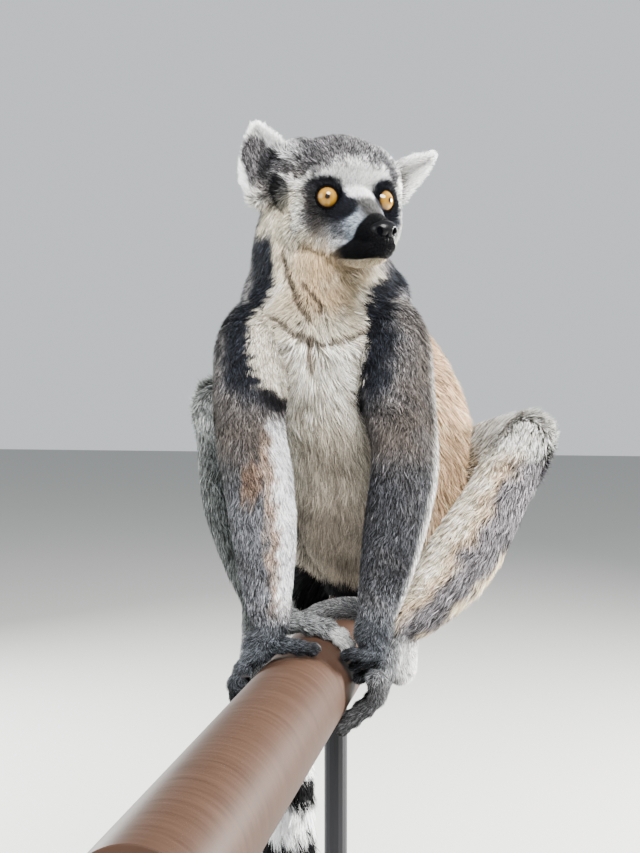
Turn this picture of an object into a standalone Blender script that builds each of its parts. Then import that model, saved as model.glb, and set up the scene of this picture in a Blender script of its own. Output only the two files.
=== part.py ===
"""Ring-tailed lemur squatting on a round rail, a life-size display model on a plain stand.

Run with: blender --background --python part.py

Body points are given in millimetres in the rail frame: the rail's axis is Y, its height is z = 0,
the animal faces -Y and its left side is +X. place() turns them into the row frame, in metres,
whose origin lies under the middle of the stand. The shapes run out to the tips of the coat.
"""
import math

import bmesh
import bpy
from mathutils import Matrix, Vector

MM = 0.001

# Stand and rail
RAIL_RADIUS = 27.0
RAIL_LENGTH = 576.0
RAIL_HEIGHT = 372.0
RAIL_MIDDLE_Y = -42.0
BASE_SIZE = (340.0, 460.0, 12.0)
BASE_CORNER = 18.0
ROD_RADIUS = 8.0
ROD_REACH = 160.0
FOOT_PLATE = (21.0, 5.0)

# Head, in its own frame: left, forward and up from a point behind the eyes
HEAD_AT = (12.0, 40.0, 289.0)
HEAD_TURN = math.radians(34.0)
EYE_RADIUS = 8.3
EYE_AT = (17.3, 25.6, 3.0)
EYE_SPLAY = math.radians(22.0)
CORNEA_RADIUS = 6.6
CORNEA_FORWARD = 2.6

# Fusing, cutting and coarseness
VOXEL = 2.6
FINE_VOXEL = 1.6
GAP = 0.36
ROOM = 0.5
SIDES = 16


def place(x, y, z):
    return Vector((x, y - RAIL_MIDDLE_Y, z + RAIL_HEIGHT)) * MM


def head_point(left, forward, up):
    """A point of the head's own frame, in the rail frame."""
    cos, sin = math.cos(HEAD_TURN), math.sin(HEAD_TURN)
    return (
        HEAD_AT[0] + left * cos + forward * sin,
        HEAD_AT[1] + left * sin - forward * cos,
        HEAD_AT[2] + up,
    )


def round_rail(angle_deg, y, radius):
    """A point round the rail's axis; the angle runs from the top towards the animal's left."""
    angle = math.radians(angle_deg)
    return (radius * math.sin(angle), y, radius * math.cos(angle))


def material(name, colour, roughness, metallic=0.0):
    made = bpy.data.materials.new(name)
    made.use_nodes = True
    shader = made.node_tree.nodes["Principled BSDF"]
    shader.inputs["Base Color"].default_value = (*colour, 1.0)
    shader.inputs["Roughness"].default_value = roughness
    shader.inputs["Metallic"].default_value = metallic
    return made


# ---------------------------------------------------------------- shapes that are fused into a form


def smooth_path(stations, steps):
    """Catmull-Rom points through the stations, which may hold radii after x, y, z."""
    rows = [Vector(s) for s in stations]
    ends = [rows[0] * 2 - rows[1], *rows, rows[-1] * 2 - rows[-2]]
    path = []
    for a, b, c, d in zip(ends, ends[1:], ends[2:], ends[3:]):
        for k in range(steps):
            t = k / steps
            path.append(
                0.5 * (2 * b + (c - a) * t + (2 * a - 5 * b + 4 * c - d) * t**2 + (3 * b - a - 3 * c + d) * t**3)
            )
    return [*path, rows[-1]]


def tube(form, stations, side=(1, 0, 0), steps=4, sides=SIDES):
    """A rounded tube along stations (x, y, z, half width[, half depth]), in millimetres."""
    rows = [(*s, s[3]) if len(s) == 4 else s for s in stations]
    path = smooth_path(rows, steps)
    points = [p.to_3d() for p in path]
    ways = [(b - a).normalized() for a, b in zip(points, points[1:])]
    ways = [ways[0], *[(a + b).normalized() for a, b in zip(ways, ways[1:])], ways[-1]]
    rings = []
    for point, way, row in zip(points, ways, path):
        rings.append((point, way, row[3], row[4]))
    round_off = [(0.45, 0.89), (0.8, 0.6), (0.95, 0.31)]
    first, last = rings[0], rings[-1]
    for out, share in round_off:
        reach = out * min(first[2], first[3])
        rings.insert(0, (first[0] - first[1] * reach, first[1], first[2] * share, first[3] * share))
        reach = out * min(last[2], last[3])
        rings.append((last[0] + last[1] * reach, last[1], last[2] * share, last[3] * share))
    loops = []
    across = Vector(side)
    for point, way, width, depth in rings:
        across = (across - way * way.dot(across)).normalized()
        up = way.cross(across)
        loop = []
        for k in range(sides):
            angle = math.tau * k / sides
            spot = point + across * (width * math.cos(angle)) + up * (depth * math.sin(angle))
            loop.append(form.verts.new(place(*spot)))
        loops.append(loop)
    for low, high in zip(loops, loops[1:]):
        for k in range(sides):
            form.faces.new((low[k], low[(k + 1) % sides], high[(k + 1) % sides], high[k]))
    form.faces.new(loops[0][::-1])
    form.faces.new(loops[-1])


def ball(form, middle, radii, turn=None):
    """An ellipsoid; turn is its rotation, a matrix."""
    turn = turn or Matrix.Identity(3)
    matrix = Matrix.Translation(place(*middle)) @ turn.to_4x4() @ Matrix.Diagonal((*[r * MM for r in radii], 1.0))
    bmesh.ops.create_uvsphere(form, u_segments=24, v_segments=16, radius=1.0, matrix=matrix)


def head_turn():
    """The head frame's axes: left, forward, up."""
    cos, sin = math.cos(HEAD_TURN), math.sin(HEAD_TURN)
    return Matrix(((cos, sin, 0), (sin, -cos, 0), (0, 0, 1)))


def head_ball(form, middle, radii):
    ball(form, head_point(*middle), radii, head_turn())


def head_tube(form, stations, steps=4):
    rows = [(*head_point(*s[:3]), *s[3:]) for s in stations]
    cos, sin = math.cos(HEAD_TURN), math.sin(HEAD_TURN)
    tube(form, rows, side=(cos, sin, 0), steps=steps)


def new_object(name, form):
    bmesh.ops.recalc_face_normals(form, faces=form.faces)
    mesh = bpy.data.meshes.new(name)
    form.to_mesh(mesh)
    form.free()
    made = bpy.data.objects.new(name, mesh)
    bpy.context.scene.collection.objects.link(made)
    return made


def apply_modifiers(made):
    """Replaces the object's mesh with its evaluated one."""
    bpy.context.view_layer.update()
    graph = bpy.context.evaluated_depsgraph_get()
    mesh = bpy.data.meshes.new_from_object(made.evaluated_get(graph))
    made.modifiers.clear()
    old, made.data = made.data, mesh
    bpy.data.meshes.remove(old)
    return made


def fuse(name, form, voxel=VOXEL, passes=5):
    """Joins the overlapping shapes of the form into one closed skin and rounds the creases between them."""
    made = new_object(name, form)
    remesh = made.modifiers.new("remesh", "REMESH")
    remesh.mode = "VOXEL"
    remesh.voxel_size = voxel * MM
    smooth = made.modifiers.new("smooth", "SMOOTH")
    smooth.factor = 0.5
    smooth.iterations = passes
    return apply_modifiers(made)


def thin(made, triangles):
    """Collapses edges until about that many triangles are left."""
    now = sum(len(p.vertices) - 2 for p in made.data.polygons)
    if now <= triangles:
        return made
    collapse = made.modifiers.new("thin", "DECIMATE")
    collapse.ratio = triangles / now
    return apply_modifiers(made)


def copy_of(made, name):
    twin = made.copy()
    twin.data = made.data.copy()
    twin.name = name
    bpy.context.scene.collection.objects.link(twin)
    return twin


def remove(*objects):
    for unwanted in objects:
        bpy.data.objects.remove(unwanted)


def keep_side(made, at, way, near=None):
    """Cuts the object by a plane, keeps the side that way points to, short of the plane, and closes it.

    Of several pieces it keeps the one nearest to the point near, or else the one with most faces."""
    way = Vector(way).normalized()
    form = bmesh.new()
    form.from_mesh(made.data)
    bmesh.ops.bisect_plane(
        form,
        geom=[*form.verts, *form.edges, *form.faces],
        dist=1e-6,
        plane_co=place(*at) + way * (GAP * MM / 2),
        plane_no=way,
        clear_inner=True,
    )
    rim = [e for e in form.edges if e.is_boundary]
    filled = bmesh.ops.holes_fill(form, edges=rim, sides=0)
    bmesh.ops.triangulate(form, faces=filled["faces"])
    bmesh.ops.recalc_face_normals(form, faces=form.faces)
    form.to_mesh(made.data)
    form.free()
    return keep_piece(made, near)


def keep_piece(made, near=None):
    """Drops every separate piece of the object's mesh but one: the nearest to a point, or the one with most faces."""
    form = bmesh.new()
    form.from_mesh(made.data)
    left = set(form.verts)
    groups = []
    while left:
        group, edge = set(), [left.pop()]
        while edge:
            vert = edge.pop()
            group.add(vert)
            for e in vert.link_edges:
                other = e.other_vert(vert)
                if other in left:
                    left.discard(other)
                    edge.append(other)
        groups.append(group)
    groups.sort(key=len)
    if near is not None:
        spot = place(*near)
        groups.sort(key=lambda group: -min((v.co - spot).length for v in group))
    for group in groups[:-1]:
        bmesh.ops.delete(form, geom=list(group), context="VERTS")
    form.to_mesh(made.data)
    form.free()
    return made


def make_room(made, *neighbours):
    """Cuts the neighbours out of the object, with a small gap all round them."""
    cutters = []
    for neighbour in neighbours:
        cutter = copy_of(neighbour, "cutter")
        mesh = cutter.data
        normals = [v.normal.copy() for v in mesh.vertices]
        for vert, normal in zip(mesh.vertices, normals):
            vert.co += normal * (ROOM * MM)
        cut = made.modifiers.new("room", "BOOLEAN")
        cut.operation = "DIFFERENCE"
        cut.object = cutter
        cutters.append(cutter)
    apply_modifiers(made)
    remove(*cutters)
    return keep_piece(made)


# ---------------------------------------------------------------- stand and rail


def stand_base():
    form = bmesh.new()
    width, length, height = (s * MM for s in BASE_SIZE)
    bmesh.ops.create_cube(form, size=1.0, matrix=Matrix.Diagonal((width, length, height, 1.0)))
    bmesh.ops.translate(form, verts=form.verts, vec=(0, 0, height / 2))
    upright = [e for e in form.edges if abs(e.verts[0].co.z - e.verts[1].co.z) > height / 2]
    bmesh.ops.bevel(form, geom=upright, offset=BASE_CORNER * MM, segments=4, profile=0.5, affect="EDGES")
    top = [e for e in form.edges if min(v.co.z for v in e.verts) > height * 0.99]
    bmesh.ops.bevel(form, geom=top, offset=1.5 * MM, segments=1, profile=0.5, affect="EDGES")
    return new_object("stand_base", form)


def cylinder(name, radius, length, middle, along, segments=32):
    form = bmesh.new()
    turn = Vector((0, 0, 1)).rotation_difference(Vector(along)).to_matrix().to_4x4()
    bmesh.ops.create_cone(
        form,
        cap_ends=True,
        segments=segments,
        radius1=radius * MM,
        radius2=radius * MM,
        depth=length * MM,
        matrix=Matrix.Translation(middle) @ turn,
    )
    made = new_object(name, form)
    made.data.shade_smooth()
    made.data.set_sharp_from_angle(angle=math.radians(40))
    return made


def stand_rod(name, row_y):
    """A round rod with a flat collar on the base; it ends just under the rail."""
    low = BASE_SIZE[2] + GAP
    high = RAIL_HEIGHT - RAIL_RADIUS - GAP
    collar_radius, collar_height = FOOT_PLATE
    profile = [
        (0.0, low),
        (collar_radius, low),
        (collar_radius, low + collar_height - 1.5),
        (collar_radius - 1.5, low + collar_height),
        (ROD_RADIUS + 2.0, low + collar_height),
        (ROD_RADIUS, low + collar_height + 2.5),
        (ROD_RADIUS, high),
        (0.0, high),
    ]
    form = bmesh.new()
    verts = [form.verts.new((x * MM, 0, z * MM)) for x, z in profile]
    edges = [form.edges.new(pair) for pair in zip(verts, verts[1:])]
    bmesh.ops.spin(
        form, geom=[*verts, *edges], axis=(0, 0, 1), cent=(0, 0, 0), angle=math.tau, steps=16, use_merge=True
    )
    bmesh.ops.remove_doubles(form, verts=form.verts, dist=1e-6)
    made = new_object(name, form)
    made.data.transform(Matrix.Translation((0, row_y * MM, 0)))
    made.data.shade_smooth()
    made.data.set_sharp_from_angle(angle=math.radians(30))
    return made


def perch_rail():
    return cylinder("stand_rail", RAIL_RADIUS, RAIL_LENGTH, Vector((0, 0, RAIL_HEIGHT * MM)), (0, 1, 0), segments=40)


# ---------------------------------------------------------------- trunk, neck and head

TRUNK = [
    (5, 50, 286, 41, 38),
    (1.5, 48, 268, 42.5, 39),
    (1.5, 50, 252, 46.5, 41),
    (2, 57, 236, 55, 46.5),
    (4, 66, 216, 55, 52),
    (12, 79, 194, 58.5, 57),
    (24, 93, 164, 63.5, 61),
    (30, 107, 132, 66.5, 63),
    (31, 120, 104, 64, 62),
    (31, 132, 82, 57, 55),
    (31, 143, 68, 48, 46),
]

MUZZLE = [
    (0, 20, -6, 22, 21),
    (0, 34, -10.5, 16, 17),
    (0, 46, -15.5, 11.5, 13.5),
    (0, 54, -18.5, 9.5, 11.8),
    (0, 60.5, -20.5, 9, 10.4),
]

LIPS = [
    (0, 24, -23, 17, 10),
    (0, 38, -26, 13.5, 8.6),
    (0, 48, -27.2, 12, 8),
    (0, 56, -28, 10.2, 7.4),
    (0.5, 61.5, -28, 9.4, 7.2),
]

JAW = [
    (0, 4, -22, 22, 14),
    (0, 26, -28, 15, 9.5),
    (0, 44, -33, 10, 6.3),
    (0.5, 60, -33.6, 8.4, 5.2),
]


def core_form():
    form = bmesh.new()
    tube(form, TRUNK, side=(1, 0, 0), steps=4, sides=24)
    ball(form, (31, 138, 62), (50, 40, 38))
    head_ball(form, (2, 0, 9.5), (40, 35, 36))
    head_ball(form, (-20, -6, 17.5), (21, 25, 26))
    head_ball(form, (23, -6, 16.5), (23, 25, 26))
    head_ball(form, (0, 18, -4), (33, 16, 27))
    for side in (-1, 1):
        head_ball(form, (side * 21, 2, -13), (19, 22, 20))
        head_ball(form, (side * 15, 19, 12), (14, 12, 12))
        head_ball(form, (side * 23, 17, -10), (13, 13, 15))
    head_tube(form, MUZZLE)
    head_tube(form, LIPS)
    head_tube(form, JAW)
    return form


def nose():
    form = bmesh.new()
    head_ball(form, (1, 63.5, -18.5), (8.5, 6.6, 5.8))
    head_ball(form, (0.8, 64.3, -24), (4.8, 4.9, 5))
    return fuse("nose", form, voxel=0.8, passes=3)


def eye(name, side):
    form = bmesh.new()
    left, forward, up = EYE_AT
    ball(form, head_point(side * left, forward, up), (EYE_RADIUS,) * 3)
    out_left = side * math.sin(EYE_SPLAY) * CORNEA_FORWARD
    out_forward = math.cos(EYE_SPLAY) * CORNEA_FORWARD
    ball(form, head_point(side * left + out_left, forward + out_forward, up), (CORNEA_RADIUS,) * 3)
    return fuse(name, form, voxel=0.7, passes=2)


# ---------------------------------------------------------------- ears

RIGHT_EAR = {"root": (-39.5, -5, 15), "tip": (-47, -15, 51), "open": (-0.55, 0.83, 0.1), "half_width": 18.0}
LEFT_EAR = {"root": (37, -3, 18), "tip": (66, 5, 37.5), "open": (0.3, 0.9, -0.45), "half_width": 14.5}
EAR_CUP = 9.0
EAR_THICKNESS = 4.6


def ear(name, spec):
    """A cupped leaf from root to tip, its hollow facing the way of open, given thickness and rounded."""
    turn = head_turn()
    root, tip = Vector(spec["root"]), Vector(spec["tip"])
    length = (tip - root).length
    up = (tip - root).normalized()
    front = Vector(spec["open"])
    front = (front - up * front.dot(up)).normalized()
    across = up.cross(front)
    rows, columns = 14, 12
    form = bmesh.new()
    grid = []
    for i in range(rows + 1):
        t = i / rows
        narrowing = max(0.0, 1 - max(0.0, (t - 0.25) / 0.75) ** 1.6) ** 0.72
        half = spec["half_width"] * narrowing * (0.84 + 0.16 * min(1, t / 0.25))
        row = []
        for j in range(columns + 1):
            s = 2 * j / columns - 1
            cup = EAR_CUP * (s * s - 0.45) * (1.25 - 0.8 * t)
            spot = root + up * (t * length - 9 * (1 - t)) + across * (s * max(half, 1.2)) + front * cup
            row.append(form.verts.new(place(*head_point(*spot))))
        grid.append(row)
    for low, high in zip(grid, grid[1:]):
        for j in range(columns):
            form.faces.new((low[j], low[j + 1], high[j + 1], high[j]))
    made = new_object(name, form)
    shell = made.modifiers.new("shell", "SOLIDIFY")
    shell.thickness = EAR_THICKNESS * MM
    shell.offset = 0.0
    apply_modifiers(made)
    form = bmesh.new()
    form.from_mesh(made.data)
    remove(made)
    return fuse(name, form, voxel=1.4, passes=4)


# ---------------------------------------------------------------- arms and hands

ARMS = {
    "right": {
        "upper": [
            (-28, 53, 224, 21, 26),
            (-38, 40, 205, 24.5, 29),
            (-38, 24, 182, 23, 27),
            (-34, 6, 154, 21.5, 23),
            (-26, -9, 126, 21, 21),
        ],
        "fore": [(-26, -9, 126, 21, 21), (-20, -20, 94, 19, 18), (-17, -26, 65, 15, 14), (-14.5, -29, 45, 11.5, 11)],
        "elbow_way": (0.12, -0.5, -1),
        "wrist_way": (0.15, -0.2, -1),
    },
    "left": {
        "upper": [
            (36, 56, 226, 20, 25),
            (46, 46, 207, 24, 28),
            (52, 30, 176, 23, 25),
            (58, 13, 146, 20.5, 22),
            (58, 6, 124, 20, 21),
        ],
        "fore": [(58, 6, 124, 20, 21), (53, 2, 94, 18.5, 18), (47, 2, 64, 15, 14), (43, 3, 47, 12, 11)],
        "elbow_way": (-0.1, -0.5, -1),
        "wrist_way": (-0.25, 0, -1),
    },
}


def right_hand(form):
    tube(form, [(-14.5, -29, 46, 11, 10.5), (-16, -31, 38, 11, 8.5), (-21, -34, 31, 10.5, 7)])
    ball(form, (-22, -34, 28), (10, 13, 6.5), Matrix.Rotation(math.radians(-38), 3, "Y"))
    tube(form, [(-18, -36, 33.5, 6.5), (-7, -36, 34.5, 5.6), (3, -34, 33, 4.9), (9.5, -31, 31.5, 4.4)])
    tube(form, [(-22, -38, 28, 6), (-27, -43, 21.5, 5.2), (-31, -47, 14.5, 4.6), (-30, -49, 11, 4.3), (-27, -48, 14, 4.1)])
    tube(form, [(-23, -34, 27, 6), (-29, -38, 20, 5.2), (-33, -40, 11.5, 4.7), (-32, -41, 4.5, 4.4), (-30, -40, 0, 4.1)])
    tube(form, [(-23, -29, 27, 6), (-29.5, -30, 20, 5.2), (-33.5, -31, 10.5, 4.7), (-33, -31, 2, 4.4), (-31, -30, -3, 4.1)])
    tube(form, [(-23, -25, 27, 5.6), (-29, -22, 20, 4.8), (-33, -20, 10, 4.5), (-31.5, -19, 1.5, 4.1)])


def left_hand(form):
    tube(form, [(43, 3, 48, 11.5, 10.5), (42, 3, 40, 12.5, 9.5), (40, 4, 33, 12, 9)])
    ball(form, (40, 5, 31), (12, 12, 8.5), Matrix.Rotation(math.radians(40), 3, "Y"))
    tube(form, [(43, 1, 32, 6), (44.5, -2, 25.5, 5.2), (38, -3, 23.5, 4.8), (31, -1, 23, 4.5), (26, 2, 21.5, 4.1)])
    tube(form, [(44, 6, 28, 5.6), (43.5, 5, 20, 5.1), (36.5, 5, 17.5, 4.8), (30.5, 7, 14.5, 4.3)])
    tube(form, [(44, 13, 27, 5.6), (44.5, 13, 17, 5), (38.5, 13, 9, 4.8), (32, 14, 6, 4.3)])


HANDS = {"right": right_hand, "left": left_hand}

# ---------------------------------------------------------------- legs and feet

LEGS = {
    "right": {
        "thigh": [(4, 146, 78, 34, 42), (-30, 119, 112, 32, 36), (-54, 92, 145, 24, 26), (-68, 72, 167, 18.5, 20)],
        "shank": [
            (-68, 70, 166, 18.5, 20),
            (-62, 57, 137, 18, 20),
            (-57, 46, 107, 17, 19),
            (-46, 35, 77, 14.5, 16.5),
            (-35, 27, 53, 12, 13),
            (-32, 23, 42, 11.5, 12.5),
        ],
        "knee_way": (-0.5, -0.95, -0.1),
        "ankle_way": (0.1, -0.25, -1),
    },
    "left": {
        "thigh": [(56, 150, 80, 35, 42), (84, 126, 110, 34, 38), (108, 104, 131, 26, 28), (127, 88, 145, 19, 20)],
        "shank": [
            (127, 86, 144.5, 19, 20),
            (111, 67, 112, 20, 22),
            (91, 47, 77, 22, 23),
            (69, 30, 49, 16.5, 18),
            (54, 21, 40, 12, 13),
        ],
        "knee_way": (-0.1, -1, -0.35),
        "ankle_way": (-0.5, -0.3, -1),
    },
}


def right_foot(form):
    tube(form, [(-32, 23, 42, 11, 12), (-35, 27, 26, 10, 12), (-37.5, 31, 9, 10, 13)])
    tube(form, [(-33, 22, 26, 9, 11), (-34, 15, 10, 8, 12.5), (-35, 13, -1, 7.5, 13)])
    for y in (2, 10, 18, 26):
        toe = [(-94, 0, 8.5, 5.8), (-110, -1, 8, 5.2), (-127, -2, 6.8, 4.8), (-143, -3, 5.2, 4.4)]
        tube(form, [(*round_rail(a, y + s, RAIL_RADIUS + lift), r) for a, s, lift, r in toe])
    tube(form, [(-28, 25, 36, 9), (-14, 25, 36, 8.2), (-2, 25, 34.6, 7.4), (9, 25, 32, 6.8), (17, 25, 27.5, 6.2), (21, 25, 23, 5.4)])


def left_foot(form):
    tube(form, [(54, 21, 41, 11.5, 12), (54, 27, 25, 11.5, 12.5), (53.5, 31, 9, 11, 13.5)])
    tube(form, [(51, 22, 28, 10, 11), (47, 15, 14, 9, 12), (43, 12, 1, 7, 13)])
    for y, reach in ((1, 1.0), (9, 1.04), (17, 1.02), (24, 0.94)):
        toe = [(80, 0, 17, 6.4), (94, 0, 16, 5.6), (104, -1, 12, 5.1), (117, -2, 7.5, 4.7), (131, -3, 5, 4.3)]
        tube(form, [(*round_rail(80 + (a - 80) * reach, y + s, RAIL_RADIUS + lift), r) for a, s, lift, r in toe])
    tube(form, [(50, 30, 32, 9), (40, 42, 38, 8.4), (20, 53, 40, 7.6), (2, 57, 36.5, 7), (-8, 58, 32, 6)])


FEET = {"right": right_foot, "left": left_foot}

# ---------------------------------------------------------------- tail

TAIL = [
    (30, 168, 66, 19),
    (24, 192, 60, 17),
    (2, 211, 50, 17),
    (-26, 214, 34, 17.5),
    (-45, 205, 2, 18.5),
    (-49, 195, -48, 20),
    (-48, 187, -108, 20.5),
    (-46, 181, -168, 21),
    (-44, 178, -220, 21),
    (-43, 170, -262, 21),
    (-42, 150, -292, 21),
    (-41, 122, -303, 21),
    (-40, 95, -290, 20.5),
    (-39, 80, -262, 19),
    (-39, 78, -236, 15),
]
TAIL_CUTS = [2.6, 5.0, 7.0, 9.3, 11.5]


def tail_point(at):
    """The point and way of the tail's line at a station number, which may lie between two."""
    low = int(at)
    a, b = Vector(TAIL[low][:3]), Vector(TAIL[low + 1][:3])
    return a.lerp(b, at - low), (b - a).normalized()


# ---------------------------------------------------------------- assembly


def build():
    for old in list(bpy.data.objects):
        bpy.data.objects.remove(old)

    steel = material("stand_steel", (0.04, 0.04, 0.045), 0.45, 0.3)
    rail_brown = material("rail_brown", (0.30, 0.18, 0.13), 0.4)
    grey = material("coat_grey", (0.36, 0.36, 0.36), 0.9)
    cream = material("coat_cream", (0.75, 0.70, 0.60), 0.9)
    brown = material("coat_brown", (0.42, 0.34, 0.27), 0.9)
    white = material("coat_white", (0.85, 0.85, 0.82), 0.9)
    black = material("coat_black", (0.03, 0.03, 0.035), 0.8)
    amber = material("eye_amber", (0.75, 0.42, 0.08), 0.1)
    nose_black = material("nose_black", (0.015, 0.015, 0.018), 0.35)

    base = stand_base()
    rods = [stand_rod("stand_rod_front", -ROD_REACH), stand_rod("stand_rod_back", ROD_REACH)]
    rail = perch_rail()
    eyes = {side: eye(f"eye_{side}", sign) for side, sign in (("right", -1), ("left", 1))}
    for made in eyes.values():
        thin(made, 130)

    core = fuse("core", core_form(), voxel=1.8, passes=7)
    head_cut = ((8, 44, 256), (0.35, -0.2, 1))
    neck_cut = ((11, 56, 230), (0, -0.35, 1))
    waist_cut = ((27, 96, 150), (0, -0.3, 1))

    nose_made = thin(nose(), 140)
    head = keep_side(thin(copy_of(core, "head"), 2100), *head_cut)
    make_room(head, nose_made, *eyes.values())
    trunk = thin(core, 1200)
    trunk.name = "trunk_whole"
    neck = keep_side(copy_of(trunk, "neck"), *neck_cut)
    keep_side(neck, head_cut[0], [-c for c in head_cut[1]])
    chest = keep_side(copy_of(trunk, "chest"), *waist_cut)
    keep_side(chest, neck_cut[0], [-c for c in neck_cut[1]])
    belly = keep_side(copy_of(trunk, "belly"), waist_cut[0], [-c for c in waist_cut[1]])

    ears = {}
    for side, spec in (("right", RIGHT_EAR), ("left", LEFT_EAR)):
        ears[side] = make_room(thin(ear(f"ear_{side}", spec), 220), head, neck)

    make_room(belly, rail)
    core_parts = [neck, chest, belly]
    limbs = {}
    for side in ("right", "left"):
        form = bmesh.new()
        tube(form, ARMS[side]["upper"])
        tube(form, ARMS[side]["fore"])
        whole = thin(fuse("arm", form), 420)
        make_room(whole, *core_parts)
        elbow, wrist = ARMS[side]["fore"][0][:3], ARMS[side]["fore"][-1][:3]
        elbow_way, wrist_way = ARMS[side]["elbow_way"], ARMS[side]["wrist_way"]
        upper = keep_side(copy_of(whole, f"upper_arm_{side}"), elbow, [-c for c in elbow_way])
        fore = keep_side(copy_of(whole, f"forearm_{side}"), elbow, elbow_way)
        keep_side(fore, wrist, [-c for c in wrist_way])
        remove(whole)
        form = bmesh.new()
        HANDS[side](form)
        hand = thin(fuse(f"hand_{side}", form, voxel=FINE_VOXEL, passes=3), 400)
        make_room(keep_side(hand, wrist, wrist_way), rail)
        limbs[side] = {"upper_arm": upper, "forearm": fore, "hand": hand}

    for side in ("right", "left"):
        spec = LEGS[side]
        form = bmesh.new()
        tube(form, spec["thigh"])
        tube(form, spec["shank"])
        whole = thin(fuse("leg", form), 480)
        make_room(whole, *core_parts)
        make_room(whole, limbs[side]["upper_arm"], limbs[side]["forearm"])
        knee, ankle = spec["shank"][0][:3], spec["shank"][-1][:3]
        thigh = keep_side(copy_of(whole, f"thigh_{side}"), knee, [-c for c in spec["knee_way"]])
        shank = keep_side(copy_of(whole, f"shank_{side}"), knee, spec["knee_way"])
        keep_side(shank, ankle, [-c for c in spec["ankle_way"]])
        remove(whole)
        form = bmesh.new()
        FEET[side](form)
        foot = thin(fuse(f"foot_{side}", form, voxel=FINE_VOXEL, passes=3), 440)
        keep_side(foot, ankle, spec["ankle_way"])
        limbs[side].update(thigh=thigh, shank=shank, foot=foot)

    for side, other in (("right", "left"), ("left", "right")):
        make_room(limbs[side]["foot"], rail, limbs[side]["hand"], limbs[side]["forearm"])
        make_room(limbs[side]["foot"], limbs[other]["hand"], limbs[other]["forearm"])
        make_room(limbs[side]["foot"], belly, limbs[side]["thigh"])
    make_room(limbs["left"]["foot"], limbs["right"]["foot"])

    form = bmesh.new()
    tube(form, TAIL, side=(1, 0, 0), steps=3)
    tail = thin(fuse("tail_whole", form, voxel=3.0, passes=2), 700)
    make_room(tail, belly, limbs["left"]["thigh"], limbs["right"]["thigh"], rail)
    sections = []
    bounds = [None, *TAIL_CUTS, None]
    for number, (start, end) in enumerate(zip(bounds, bounds[1:]), start=1):
        section = copy_of(tail, f"tail_{number}")
        middle = tail_point(((start or 0) + (end or len(TAIL) - 1)) / 2)[0]
        if start is not None:
            spot, way = tail_point(start)
            keep_side(section, spot, way, near=middle)
        if end is not None:
            spot, way = tail_point(end)
            keep_side(section, spot, -way, near=middle)
        sections.append(section)
    remove(tail, trunk)

    paint = {
        steel: [base, *rods],
        rail_brown: [rail],
        amber: list(eyes.values()),
        nose_black: [nose_made],
        white: [head, *ears.values()],
        cream: [neck, chest],
        brown: [belly],
        grey: [part for side in limbs.values() for part in side.values()],
    }
    for number, section in enumerate(sections):
        paint.setdefault(black if number % 2 else white, []).append(section)
    for finish, parts in paint.items():
        for part in parts:
            part.data.materials.clear()
            part.data.materials.append(finish)
            part.data.shade_smooth()
            part.data.set_sharp_from_angle(angle=math.radians(45))


build()
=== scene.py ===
"""Looks of the ring-tailed lemur display model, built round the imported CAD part.

Body points are in millimetres in the rail frame: the rail's axis is Y, its height is z = 0, the
animal faces -Y and its left side is +X. to_row() turns them into the row frame, in metres.
"""
import math

import bmesh
import bpy
import numpy as np
from mathutils import Matrix, Vector
from mathutils.kdtree import KDTree


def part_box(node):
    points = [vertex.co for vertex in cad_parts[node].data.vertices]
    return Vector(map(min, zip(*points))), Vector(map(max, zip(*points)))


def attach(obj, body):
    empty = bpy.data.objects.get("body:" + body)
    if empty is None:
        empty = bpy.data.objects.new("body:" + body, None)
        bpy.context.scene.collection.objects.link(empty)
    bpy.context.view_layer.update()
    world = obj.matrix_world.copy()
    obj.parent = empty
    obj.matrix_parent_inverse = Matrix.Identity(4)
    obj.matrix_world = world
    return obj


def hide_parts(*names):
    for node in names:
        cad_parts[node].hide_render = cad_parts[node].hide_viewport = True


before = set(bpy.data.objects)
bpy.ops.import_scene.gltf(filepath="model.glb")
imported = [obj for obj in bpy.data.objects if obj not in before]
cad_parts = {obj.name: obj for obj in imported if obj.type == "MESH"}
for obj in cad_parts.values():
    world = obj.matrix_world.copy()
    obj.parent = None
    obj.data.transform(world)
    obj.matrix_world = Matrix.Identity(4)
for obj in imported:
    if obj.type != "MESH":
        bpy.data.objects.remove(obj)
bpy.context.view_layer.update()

rng = np.random.default_rng(11)

# ---------------------------------------------------------------- Skin
# The hide that carries the coat: one closed skin over trunk, head, ears, limbs and tail, a coat's
# depth inside the solids. Tubes and balls are joined by a voxel remesh, lids, mouth and folds are
# pressed in by moving its points, and its colour follows the coat's markings.

RAIL_RADIUS = 27.0
RAIL_AT = (0, 42, 372)
# The head's own frame: its middle, and its ways left, ahead and up, turned to the animal's left
HEAD_AT = np.array((12.0, 40.0, 289.0))
TURN = math.radians(34)
HEAD_AXES = np.array(((math.cos(TURN), math.sin(TURN), 0), (math.sin(TURN), -math.cos(TURN), 0), (0, 0, 1)))


def to_row(points):
    """Points of the rail frame in the row frame, in metres."""
    return (np.asarray(points, float) + RAIL_AT) * 0.001


def from_row(points):
    return np.asarray(points, float) * 1000 - RAIL_AT


def from_head(points):
    """Points given left, forward and up of the head's middle, in the rail frame."""
    return HEAD_AT + np.asarray(points, float) @ HEAD_AXES


def to_head(points):
    return (points - HEAD_AT) @ HEAD_AXES.T


def unit(vectors):
    return vectors / np.maximum(np.linalg.norm(vectors, axis=-1, keepdims=True), 1e-9)


def ease(value, low, high):
    """0 below low, 1 above high and smooth between."""
    t = np.clip((value - low) / (high - low), 0, 1)
    return t * t * (3 - 2 * t)


def bump(value, middle, width):
    """1 at the middle, falling off on both sides."""
    return np.exp(-(((value - middle) / width) ** 2))


def round_rail(angle, y, radius):
    """A point round the rail's axis; the angle runs from the top towards the animal's left."""
    angle = math.radians(angle)
    return (radius * math.sin(angle), y, radius * math.cos(angle))


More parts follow.
